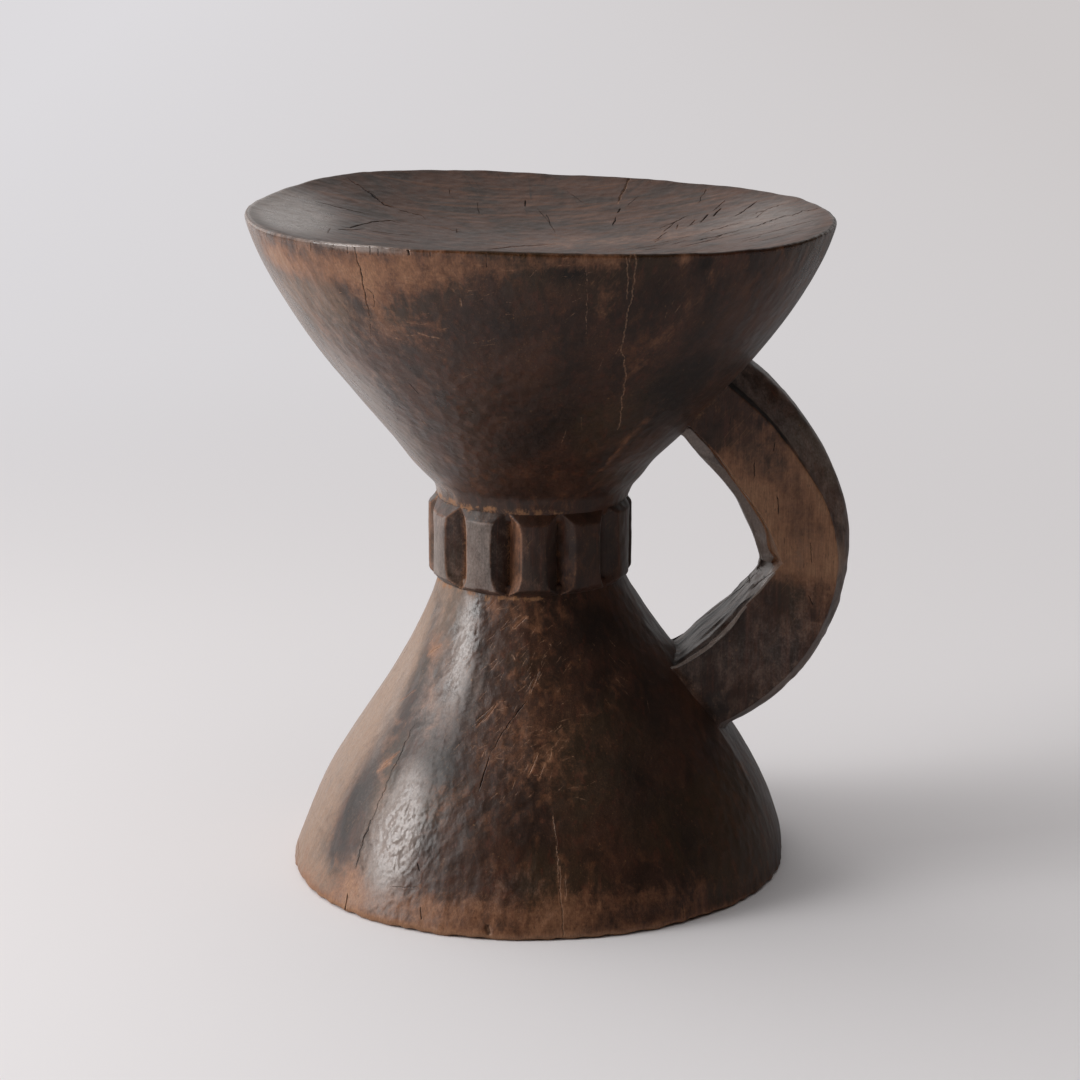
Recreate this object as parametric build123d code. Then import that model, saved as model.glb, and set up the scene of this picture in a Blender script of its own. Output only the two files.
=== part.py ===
from build123d import *
import math
import os

# A low stool carved from one log, standing on its foot, with +Z up and millimetres throughout.
# A dished bowl to sit on and a flared base meet at a narrow waist, which wears a collar of
# raised blocks, and an arched handle joins the bowl to the base on the +X side.
# The origin lies on the floor at the middle of the foot. Every member ends on a carved line of
# the real stool, and there it meets its neighbour face to face.

# Heights of the three stages, from the floor up
base_height = 181.0
collar_height = 50.0
bowl_height = 175.5

# Radii of the log's carving
foot_radius = 151.5        # where the base meets the floor
foot_swell = 1.0           # the base is this much wider just above its worn foot edge
groove_radius = 57.3       # the grooves above and below the collar
rim_radius = 178.5         # the bowl's rim, on average

# How far the hand carving strays from true round
waist_offset = -5.0        # the waist stands this far to the left of the foot
rim_offset = -2.5
rim_oval = 3.1             # the rim is longer on one diagonal
rim_lobes = 3.8            # and a little three-cornered
rim_drop = 4.6             # the rim is lower than its middle by this much on the handle's side
foot_oval = 2.0
oval_angle = 63.8
lobe_angle = -4.6
rim_drop_angle = 21.0      # the rim's lowest point lies this far behind the handle

# The dish that one sits in
dish_depth = 27.0
rim_round = 4.0

# The collar's blocks
block_count = 11
block_proud = 5.3          # how far a block's face stands out from the grooves
notch_depth = 10.0         # the V cuts between the blocks, measured from the blocks' faces
notch_land = 0.8           # bare neck at the bottom of each V cut
first_block_angle = -87.2
face_share = 0.553         # a block's face, of the way from one V cut to the next
upper_bevel_height = 7.0
lower_bevel_height = 4.5

# The handle is an arch about a centre beside the neck, and its inside is two arcs that meet
# in a sharp elbow
handle_reach = 188.6       # from the foot's middle to the arch's outermost point
arch_radius = 125.0
arch_drop = 3.0            # the arch's centre lies this far below the collar's middle
handle_width_top = 74.0
handle_width_middle = 51.0
handle_width_bottom = 60.0
inner_bevel = 3.0
inner_bevel_side = 9.0
outer_bevel_narrow = 5.5
outer_bevel_broad = 17.0
outer_bevel_side = 12.0

collar_bottom = base_height
collar_top = collar_bottom + collar_height
rim_height = collar_top + bowl_height
swell_radius = foot_radius + foot_swell
collar_radius = groove_radius + block_proud
neck_radius = collar_radius - notch_depth
ring_points = 24

# The bowl from its groove to its rim, and on above the rim: shares of its height, and of the
# way out from the groove's radius to the rim's
bowl_profile_shares = [
    (0.00, 0.000),
    (0.05, 0.008),
    (0.10, 0.064),
    (0.15, 0.137),
    (0.20, 0.215),
    (0.35, 0.410),
    (0.50, 0.594),
    (0.65, 0.755),
    (0.80, 0.886),
    (0.92, 0.967),
    (1.00, 1.000),
    (1.08, 1.012),
]
# The base from its foot to its groove: shares of its height, of the way out from the groove's
# radius to the swell's, and of the waist's offset
base_profile_shares = [
    (0.030, 1.000, 0.00),
    (0.085, 0.978, -0.25),
    (0.155, 0.935, -0.35),
    (0.276, 0.838, -0.40),
    (0.442, 0.654, -0.40),
    (0.608, 0.437, -0.20),
    (0.773, 0.229, 0.20),
    (0.912, 0.077, 0.75),
    (1.000, 0.000, 1.00),
]
# The handle's two arms from the elbow to their roots: the angle on the arch in degrees, the
# inner radius as a share of the arch's, the width as a share of the way from the middle's
# width to the root's, and the outer bevel as a share of the way from narrow to broad
elbow_angle = -10.8
upper_arm_shares = [
    (elbow_angle, 0.598, 0.00, 0.08),
    (10.0, 0.524, 0.03, 0.35),
    (26.0, 0.500, 0.14, 0.85),
    (42.0, 0.502, 0.34, 1.00),
    (60.0, 0.536, 0.66, 0.75),
    (76.0, 0.598, 0.95, 0.60),
    (92.0, 0.640, 1.00, 0.55),
    (110.0, 0.660, 1.00, 0.55),
]
lower_arm_shares = [
    (elbow_angle, 0.598, 0.00, 0.08),
    (-24.0, 0.578, 0.06, 0.00),
    (-38.0, 0.568, 0.22, 0.00),
    (-52.0, 0.560, 0.48, 0.00),
    (-66.0, 0.572, 0.80, 0.00),
    (-80.0, 0.610, 1.00, 0.00),
    (-95.0, 0.640, 1.00, 0.00),
    (-110.0, 0.660, 1.00, 0.00),
]


def log_ring(height, radius, centre_x, oval, lobes):
    """A closed ring of the carving at one height, a little oval and three-cornered."""
    points = []
    for number in range(ring_points):
        angle = math.tau * number / ring_points
        reach = (
            radius
            + oval * math.cos(2 * (angle - math.radians(oval_angle)))
            + lobes * math.cos(3 * (angle - math.radians(lobe_angle)))
        )
        points.append((centre_x + reach * math.cos(angle), reach * math.sin(angle), height))
    return make_face(Spline(points, periodic=True))


def make_bowl_blank():
    """The bowl's outside, running on above the rim so that the dish can be cut from it."""
    rings = []
    for height_share, radius_share in bowl_profile_shares:
        rings.append(
            log_ring(
                collar_top + height_share * bowl_height,
                groove_radius + radius_share * (rim_radius - groove_radius),
                waist_offset * (1 - height_share) ** 2 + rim_offset * height_share,
                rim_oval * height_share,
                rim_lobes * height_share,
            )
        )
    return loft(rings)


def make_seat_bowl():
    """The bowl, dished by a large ball that leans with the rim, and rounded at the rim."""
    ball_radius = (rim_radius**2 + dish_depth**2) / (2 * dish_depth)
    lean = math.degrees(math.atan2(rim_drop, rim_radius))
    leaning = Rot(0, 0, rim_drop_angle) * Rot(0, lean, 0)
    ball = Pos(0, 0, rim_height) * leaning * Pos(0, 0, ball_radius - dish_depth) * Sphere(ball_radius)
    bowl = make_bowl_blank() - ball
    arris = bowl.edges().sort_by(SortBy.LENGTH)[-1]
    return fillet(arris, rim_round)


def make_flared_base():
    rings = [log_ring(0, foot_radius, 0, foot_oval, 0)]
    for height_share, radius_share, offset_share in base_profile_shares:
        rings.append(
            log_ring(
                height_share * base_height,
                groove_radius + radius_share * (swell_radius - groove_radius),
                waist_offset * offset_share,
                foot_oval * (1 - height_share),
                0,
            )
        )
    return loft(rings)


def make_waist_neck():
    on_floor = (Align.CENTER, Align.CENTER, Align.MIN)
    return Pos(waist_offset, 0, collar_bottom) * Cylinder(neck_radius, collar_height, align=on_floor)


def make_collar_ring():
    """The collar before its V cuts, bevelled towards both grooves."""
    profile = Polyline(
        (0, 0, 0),
        (groove_radius, 0, 0),
        (collar_radius, 0, lower_bevel_height),
        (collar_radius, 0, collar_height - upper_bevel_height),
        (groove_radius, 0, collar_height),
        (0, 0, collar_height),
        close=True,
    )
    return revolve(make_face(profile), axis=Axis.Z)


def make_collar_block(number, collar_ring):
    """One raised block, with half a V cut on each side and its back on the neck."""
    half_pitch = math.pi / block_count
    root_half = half_pitch - notch_land / 2 / neck_radius
    face_half = face_share * half_pitch
    root_left = (neck_radius * math.cos(root_half), neck_radius * math.sin(root_half))
    root_right = (root_left[0], -root_left[1])
    face_left = (collar_radius * math.cos(face_half), collar_radius * math.sin(face_half))
    face_right = (face_left[0], -face_left[1])
    outline = [
        ThreePointArc(root_left, (neck_radius, 0), root_right),
        Line(root_right, face_right),
        ThreePointArc(face_right, (collar_radius, 0), face_left),
        Line(face_left, root_left),
    ]
    block = extrude(make_face(outline), collar_height) & collar_ring
    turn = first_block_angle + 360 * number / block_count
    return Pos(waist_offset, 0, collar_bottom) * Rot(0, 0, turn) * block


def arch_section(angle, inner_share, width, bevel_share):
    """An eight-cornered section of the handle, on a plane through the arch's centre."""
    inner_radius = inner_share * arch_radius
    outer_bevel = outer_bevel_narrow + bevel_share * (outer_bevel_broad - outer_bevel_narrow)
    half_width = width / 2
    near_side = [
        (inner_radius, -half_width + inner_bevel_side),
        (inner_radius + inner_bevel, -half_width),
        (arch_radius - outer_bevel, -half_width),
        (arch_radius, -half_width + outer_bevel_side),
    ]
    corners = near_side + [(reach, -side) for reach, side in reversed(near_side)]
    centre_x = handle_reach - arch_radius
    centre_z = (collar_bottom + collar_top) / 2 - arch_drop
    turn = math.radians(angle)
    points = []
    for reach, side in corners:
        points.append((centre_x + reach * math.cos(turn), side, centre_z + reach * math.sin(turn)))
    return make_face(Polyline(*points, close=True))


def make_arm(stations, root_width):
    sections = []
    for angle, inner_share, width_share, bevel_share in stations:
        width = handle_width_middle + width_share * (root_width - handle_width_middle)
        sections.append(arch_section(angle, inner_share, width, bevel_share))
    return loft(sections)


def make_arched_handle(bowl, base):
    """The arch, cut to the walls of the bowl and the base that it grows out of."""
    upper_arm = make_arm(upper_arm_shares, handle_width_top)
    lower_arm = make_arm(lower_arm_shares, handle_width_bottom)
    return (upper_arm + lower_arm) - bowl - base


def main():
    os.makedirs("parts", exist_ok=True)
    bowl = make_seat_bowl()
    base = make_flared_base()
    parts = {
        "seat_bowl": bowl,
        "waist_neck": make_waist_neck(),
        "flared_base": base,
        "arched_handle": make_arched_handle(bowl, base),
    }
    collar_ring = make_collar_ring()
    for number in range(block_count):
        parts[f"collar_block_{number + 1:02d}"] = make_collar_block(number, collar_ring)
    for name, part in parts.items():
        export_step(part, f"parts/{name}.step")
        print(name, len(part.solids()), round(part.volume))


main()
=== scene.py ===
import math
from itertools import product

import bmesh
import bpy
import numpy as np
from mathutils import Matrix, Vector
from mathutils.bvhtree import BVHTree
from mathutils.kdtree import KDTree


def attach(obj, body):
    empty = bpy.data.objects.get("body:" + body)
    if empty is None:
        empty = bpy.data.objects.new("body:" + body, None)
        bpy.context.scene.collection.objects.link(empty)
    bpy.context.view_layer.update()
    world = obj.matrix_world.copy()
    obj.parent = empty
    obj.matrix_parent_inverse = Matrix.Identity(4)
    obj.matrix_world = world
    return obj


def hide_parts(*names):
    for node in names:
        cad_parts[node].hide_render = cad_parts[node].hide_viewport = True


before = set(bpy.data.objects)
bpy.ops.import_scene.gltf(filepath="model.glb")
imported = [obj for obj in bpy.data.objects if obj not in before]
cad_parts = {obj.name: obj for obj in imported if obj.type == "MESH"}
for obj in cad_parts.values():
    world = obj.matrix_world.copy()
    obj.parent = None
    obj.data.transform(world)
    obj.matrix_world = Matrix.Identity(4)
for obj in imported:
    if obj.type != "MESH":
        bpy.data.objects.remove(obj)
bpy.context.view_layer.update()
print("frame loaded")

# The stool is one log carved by hand: dished bowl, waist with a collar of blocks, flared base and
# arched handle.
# Lengths are millimetres until a mesh is made, and +Z is up with the foot on the floor.
mm = 0.001

# where the photographer stood, for placing marks by their pixel in the 1080 x 1080 picture
photo = {
    "middle": 540.0,
    "focal": 3415.0,  # pixels
    "distance": 2033.0,
    "height": 718.0,
    "tilt": 14.26,  # degrees below level
    "size": 1080.0,
}


def hexToLinear(code):
    channels = []
    for start in (1, 3, 5):
        value = int(code[start:start + 2], 16) / 255
        channels.append(value / 12.92 if value <= 0.04045 else ((value + 0.055) / 1.055) ** 2.4)
    return (*channels, 1.0)


def addNode(tree, kind, settings=None, links=None):
    # settings are the node's own fields or its sockets' values, and a link comes from a socket or a node
    node = tree.nodes.new(kind)
    for key, value in (settings or {}).items():
        if isinstance(key, str) and hasattr(node, key):
            setattr(node, key, value)
        else:
            node.inputs[key].default_value = value
    for key, source in (links or {}).items():
        socket = source.outputs[0] if isinstance(source, bpy.types.Node) else source
        tree.links.new(socket, node.inputs[key])
    return node


# the shape helpers work in millimetres
def softNoise(points, size, seed):
    # smooth noise from -1 to 1 whose lumps are about this many millimetres across
    side = 32
    table = np.random.default_rng(seed).uniform(-1, 1, (side, side, side))
    grid = points / np.asarray(size, float) + 1000
    low = np.floor(grid).astype(int)
    part = grid - low
    part = part * part * (3 - 2 * part)
    total = np.zeros(len(points))
    for corner in product((0, 1), repeat=3):
        weight = np.ones(len(points))
        for axis in range(3):
            weight = weight * (part[:, axis] if corner[axis] else 1 - part[:, axis])
        spot = (low + corner) % side
        total += weight * table[spot[:, 0], spot[:, 1], spot[:, 2]]
    return total


def rampTo(value, low, high):
    share = np.clip((value - low) / (high - low), 0, 1)
    return share * share * (3 - 2 * share)


def bell(value, width):
    return np.exp(-((value / width) ** 2))


def throughPoints(pairs, where):
    # a smooth curve through measured pairs, read at these places
    pairs = np.array(pairs, float)
    x, y = pairs[:, 0], pairs[:, 1]
    if x[0] > x[-1]:
        x, y = x[::-1], y[::-1]
    slope = np.gradient(y, x)
    cell = np.clip(np.searchsorted(x, where) - 1, 0, len(x) - 2)
    width = x[cell + 1] - x[cell]
    t = np.clip((where - x[cell]) / width, 0, 1)
    return (
        (2 * t**3 - 3 * t**2 + 1) * y[cell]
        + (t**3 - 2 * t**2 + t) * width * slope[cell]
        + (3 * t**2 - 2 * t**3) * y[cell + 1]
        + (t**3 - t**2) * width * slope[cell + 1]
    )


def ringAt(turn, shift, radius, height):
    # a ring of points round the log, whose middle stands this far towards the handle
    return np.stack([shift + radius * np.cos(turn), radius * np.sin(turn), turn * 0 + height], -1)


def tubeFaces(rows, columns):
    # the faces between closed rings that follow each other, with a cap on both ends
    row, column = np.meshgrid(np.arange(rows - 1), np.arange(columns), indexing="ij")
    here = row * columns + column
    across = row * columns + (column + 1) % columns
    walls = np.stack([here, across, across + columns, here + columns], -1).reshape(-1, 4)
    first = np.arange(columns)
    return [*walls, (rows - 1) * columns + first, first[::-1]]


def makeMesh(name, points, faces, values=None):
    mesh = bpy.data.meshes.new(name)
    mesh.from_pydata([tuple(p) for p in points], [], [tuple(f) for f in faces])
    for key, array in (values or {}).items():
        layer = mesh.attributes.new(key, "FLOAT", "POINT")
        layer.data.foreach_set("value", np.asarray(array, np.float32))
    return mesh


def photoRay(pixel):
    tilt = math.radians(photo["tilt"])
    across = (pixel[0] - photo["middle"]) / photo["focal"]
    upward = (photo["middle"] - pixel[1]) / photo["focal"]
    start = Vector((0, -photo["distance"], photo["height"]))
    level, drop = math.cos(tilt), math.sin(tilt)
    way = Vector((across, level + upward * drop, upward * level - drop))
    return start, way.normalized()


def wallRay(spot):
    # a level ray to the wall, from an angle counted from the front towards the handle, and a height
    turn = math.radians(spot[0])
    out = Vector((math.sin(turn), -math.cos(turn), 0))
    return out * 600 + Vector((0, 0, spot[1])), -out


def topRay(spot):
    return Vector((spot[0], spot[1], 700)), Vector((0, 0, -1))


rayKinds = {"photo": photoRay, "wall": wallRay, "top": topRay}


def traceMarks(tree, marks, seed):
    # follows each mark over the surface, and returns dense points with half width, depth and kind.
    # A mark holds its stops, its width and depth, and what else differs from a plain check
    found = []
    for number, (stops, width, depth, *others) in enumerate(marks.values()):
        more = others[0] if others else {}
        ray = rayKinds[more.get("on", "photo")]
        stops = np.array(stops, float)
        lengths = np.hypot(*(stops[1:] - stops[:-1]).T)
        along = np.concatenate([[0], np.cumsum(lengths)])
        steps = max(8, int(along[-1] * 2.2))
        places = np.linspace(0, along[-1], steps)
        line = np.stack([np.interp(places, along, stops[:, axis]) for axis in (0, 1)], 1)
        direction = np.gradient(line, axis=0)
        direction /= np.linalg.norm(direction, axis=1)[:, None] + 1e-9
        flat = np.stack([places, places * 0 + 7.3 * number, places * 0], 1)
        wander = more.get("wander", 0.9) * (softNoise(flat, 7, seed) + 0.5 * softNoise(flat, 2.5, seed + 1))
        line += np.stack([-direction[:, 1], direction[:, 0]], 1) * wander[:, None]
        swell = 1 + 0.35 * softNoise(flat, 4, seed + 2)
        for step, spot in enumerate(line):
            origin, way = ray(spot)
            hit = tree.ray_cast(origin, way)[0]
            if hit is None:
                continue
            share = step / (steps - 1)
            fromStart = 5 * share + more.get("bluntStart", 0)
            toEnd = 5 * (1 - share) + more.get("bluntEnd", 0)
            taper = min(1, fromStart, toEnd) ** 0.7
            half = width / 2 * taper * swell[step]
            found.append((hit, half, depth * taper, more.get("kind", "check")))
    return found


def cutFiner(shape, tree, reaches):
    for reach in reaches:
        near = []
        for edge in shape.edges:
            middle = (edge.verts[0].co + edge.verts[1].co) / 2
            if tree.find(middle)[2] < reach:
                near.append(edge)
        bmesh.ops.subdivide_edges(shape, edges=near, cuts=1, use_grid_fill=True)


def scoops(points, anchors, size, stretch):
    # 0 in the middle of each shallow scoop of the adze and 1 on the ridges between them
    squeeze = np.array([1, 1, 1 / stretch])
    tree = KDTree(len(anchors))
    for number, anchor in enumerate(anchors * squeeze):
        tree.insert(anchor, number)
    tree.balance()
    reach = np.array([tree.find(p)[2] for p in points * squeeze])
    return np.minimum(reach / size, 1.3) ** 2


def patchWeight(points, tree, patch, flat=False):
    # a soft oval patch round a pixel, with its half sizes in mm round the log and up it, or across
    # the seat when it is flat
    pixel, (wide, high), strength, *lean = patch
    hit = tree.ray_cast(*photoRay(pixel))[0]
    if hit is None:
        print("a patch misses the wood at", pixel)
        return np.zeros(len(points))
    if flat:
        offset = ((points[:, 0] - hit.x) / wide) ** 2 + ((points[:, 1] - hit.y) / high) ** 2
    else:
        turn = np.arctan2(points[:, 1], points[:, 0]) - math.atan2(hit.y, hit.x)
        turn = (turn + math.pi) % math.tau - math.pi
        leaning = (lean[0] if lean else 0) * (points[:, 2] - hit.z)
        across = turn * math.hypot(hit.x, hit.y) - leaning
        offset = (across / wide) ** 2 + ((points[:, 2] - hit.z) / high) ** 2
        offset = offset + ((points[:, 0] - hit.x) ** 2 + (points[:, 1] - hit.y) ** 2) / (wide * 4 + 60) ** 2
    return strength * np.exp(-offset)


# what is worn or lies on the wood, and the painted light and shade, kept point by point for the material to
# follow
wearNames = ["bare", "smokeAndShade", "paleAndLit", "shine", "dust", "crack", "vein", "seat", "arris", "waxAndSheen", "dimpled"]

# how each kind of mark is drawn: how dark its floor is, the gold along it, and the wear beside it with
# its reach in mm
markKinds = {
    "check": {"dark": 0.85, "gold": 0.0, "worn": 0.15, "reach": 0.9},
    "vein": {"dark": 0.3, "gold": 0.75, "worn": 0.25, "reach": 0.5},
    "scratch": {"dark": 0.0, "gold": 0.6, "worn": 0.1, "reach": 0.25},
    "chip": {"dark": 0.0, "gold": 0.4, "worn": 0.6, "reach": 0.6},
}


def scatterScratches(seed, count, left, top, right, bottom, lean, length):
    # short light scratches, strewn over a part of the picture and lying roughly one way
    rng = np.random.default_rng(seed)
    marks = {}
    for number in range(count):
        x, y = rng.uniform(left, right), rng.uniform(top, bottom)
        turn = math.radians(lean + rng.normal(0, 16))
        half = length * rng.uniform(0.3, 1.0) / 2
        aside, up = half * math.cos(turn), half * math.sin(turn)
        ends = [(x - aside, y + up), (x + aside, y - up)]
        width = rng.uniform(0.3, 0.5)
        marks[f"scratch{seed}x{number}"] = (ends, width, 0.12, {"kind": "scratch", "wander": 0.2})
    return marks


def carvePiece(name, mesh, look, marks, patches, node, seatPatches=()):
    # cuts the checks into the smooth shape, adds the tool's marks and the wear, and hands the piece to
    # the frame
    smooth = bmesh.new()
    smooth.from_mesh(mesh)
    surface = BVHTree.FromBMesh(smooth)
    found = traceMarks(surface, marks, look["seed"])
    markTree = KDTree(max(1, len(found)))
    for number, (hit, half, depth, kind) in enumerate(found):
        markTree.insert(hit, number)
    markTree.balance()
    if found:
        cutFiner(smooth, markTree, look["fineReaches"])
    smooth.normal_update()
    points = np.array([v.co for v in smooth.verts])
    normals = np.array([v.normal for v in smooth.verts])
    values = {}
    for key in wearNames:
        layer = smooth.verts.layers.float.get(key)
        values[key] = np.array([v[layer] for v in smooth.verts]) if layer else np.zeros(len(points))
    rng = np.random.default_rng(look["seed"])
    area = sum(f.calc_area() for f in smooth.faces)
    count = int(area / look["scoopSize"] ** 2 / look["scoopStretch"] * 1.3)
    anchors = points[rng.integers(0, len(points), count)]
    lift = look["lumps"] * softNoise(points, look["lumpSize"], look["seed"] + 5)
    lift += look["lumps"] * 0.4 * softNoise(points, look["lumpSize"] * 0.4, look["seed"] + 6)
    rough = 0.55 + 0.45 * softNoise(points, 60, look["seed"] + 7)
    scooped = scoops(points, anchors, look["scoopSize"] * 0.7, look["scoopStretch"])
    lift += look["scoopDepth"] * rough * scooped
    lift += look["fine"] * softNoise(points, (3, 3, 9), look["seed"] + 8)
    lift += 0.6 * values["dust"] * softNoise(points, 2.2, 91)
    lift += look.get("arrisChips", 0) * values["arris"] * softNoise(points, 5.0, 92)
    inSeat = values["seat"] > 0.5
    for kind, *patch in patches:
        values[kind] = values[kind] + patchWeight(points, surface, patch) * ~inSeat
    for kind, *patch in seatPatches:
        values[kind] = values[kind] + patchWeight(points, surface, patch, True) * inSeat
    if found:
        nearest = [markTree.find(p) for p in points]
        reach = np.array([n[2] for n in nearest])
        index = np.array([n[1] for n in nearest])
        half = np.array([f[1] for f in found])[index]
        depth = np.array([f[2] for f in found])[index]
        kinds = [markKinds[f[3]] for f in found]
        dark, gold, worn, beside = (
            np.array([kind[key] for kind in kinds])[index] for key in ("dark", "gold", "worn", "reach")
        )
        groove = np.clip(1 - reach / np.maximum(half, 0.05), 0, 1)
        lift -= depth * np.sqrt(groove)
        values["crack"] = np.maximum(values["crack"], dark * rampTo(groove, 0.0, 0.4))
        edge = np.clip(1 - reach / (half + beside), 0, 1)
        values["vein"] = np.maximum(values["vein"], gold * rampTo(edge, 0, 0.6))
        values["bare"] = values["bare"] + worn * np.clip(1 - reach / (half + 1.6), 0, 1)
    points = points + normals * lift[:, None]
    if "floorAt" in look:
        points[:, 2] = np.maximum(points[:, 2], look["floorAt"])
    for number, vertex in enumerate(smooth.verts):
        vertex.co = points[number] * mm
    stored = smooth.verts.layers.float
    layers = {key: stored.get(key) or stored.new(key) for key in wearNames}
    smooth.verts.ensure_lookup_table()
    for key, layer in layers.items():
        for vertex, value in zip(smooth.verts, np.clip(values[key], 0, 1.5)):
            vertex[layer] = float(value)
    for face in smooth.faces:
        face.smooth = True
    bmesh.ops.recalc_face_normals(smooth, faces=smooth.faces)
    result = bpy.data.meshes.new(name)
    smooth.to_mesh(result)
    smooth.free()
    piece = bpy.data.objects.new(name, result)
    bpy.context.scene.collection.objects.link(piece)
    result.materials.append(logWood)
    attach(piece, "root")
    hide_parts(node)
    print(name, "made with", len(result.polygons), "faces")


# A dense tropical hardwood, adzed and then smoked, oiled and handled for years: nearly black in the
# hollows, warm brown where hands polish it and tan where the patina has worn through.
# The soft wax-like gloss greys every surface seen at a slant.
# Painted light is mixed into this wood: the smoke black also gives painted shade on the side away from the
# softbox, in creases and at the roots, and the pale tan and grey film also give painted sheen and highlights
# on the lit side.
wood = {
    "deepBrown": "#2e1c12",
    "midBrown": "#46291a",
    "warmBrown": "#6b4023",
    "redBrown": "#522a1a",
    "oliveBrown": "#3c2b19",
    # pale tan of worn patina, also used as painted light on the lit side
    "tanAndLit": "#8d6f58",
    "greyWaxAndSheen": "#8c8079",  # the grey film of old wax and dust on the proud faces, also laid on as painted sheen, highlights and glint
    # smoke black, also used as painted shade
    "blackSmokeAndShade": "#160e0a",
    "bareWood": "#83563a",
    "bareLight": "#a67f5e",
    "scratchGold": "#87633f",
    "ochreDust": "#8c6240",
    "veinGold": "#99745a",
    "checkDark": "#0d0806",
    "seatBrown": "#4a2b19",
    "seatGrey": "#35241a",
    "seatWarm": "#6e4428",
    "gloss": 0.41,  # old oil and smoke, rubbed by hand
    "ior": 1.45,
    "dusty": 0.045,  # the faint dusty glow of a surface seen at a slant
    # each pattern: across and along in mm, its slant in degrees, detail and twist
    "patterns": {
        # vessel lines are 0.1 to 0.3 mm wide, drawn coarser so that they show
        "fibre": (0.9, 16.0, 0, 3, 0.0),
        "streak": (4.0, 70.0, 0, 5, 0.3),
        "level": (26.0, 1.6, 0, 4, 0.2),  # rubbing marks that run round the log
        "mottle": (24.0, 36.0, 0, 5, 0.6),
        "smoke": (10.0, 15.0, 0, 6, 0.5),
        "drift": (80.0, 95.0, 0, 2, 0.3),
        "grit": (1.2, 1.5, 0, 3, 0.0),
        "speck": (2.0, 2.6, 0, 1, 0.3),
        "scoreLeft": (0.5, 13.0, 40, 1, 0.2),
        "scoreRight": (0.5, 10.0, -52, 1, 0.2),
        "hair": (0.6, 26.0, 2, 2, 0.2),
        "pore": (0.7, 5.0, 0, 1, 0.1),  # pores are a fifth of this width, drawn coarser
        "dent": (5.0, 7.0, 0, 1, 0.0),
    },
    # rays of the seat's end grain: how many round the log, and their length in mm
    "rays": {"broadRays": (30.0, 60.0), "fineRays": (95.0, 30.0)},
    "sweep": (60.0, 7.0),  # bands across the seat from the blade that smoothed it
    "hammered": (7.0, 9.0),  # the dimples of the last light strokes
}


# settings that many nodes share
plus = {"operation": "ADD"}
times = {"operation": "MULTIPLY"}
smoothStep = {"interpolation_type": "SMOOTHSTEP"}


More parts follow.
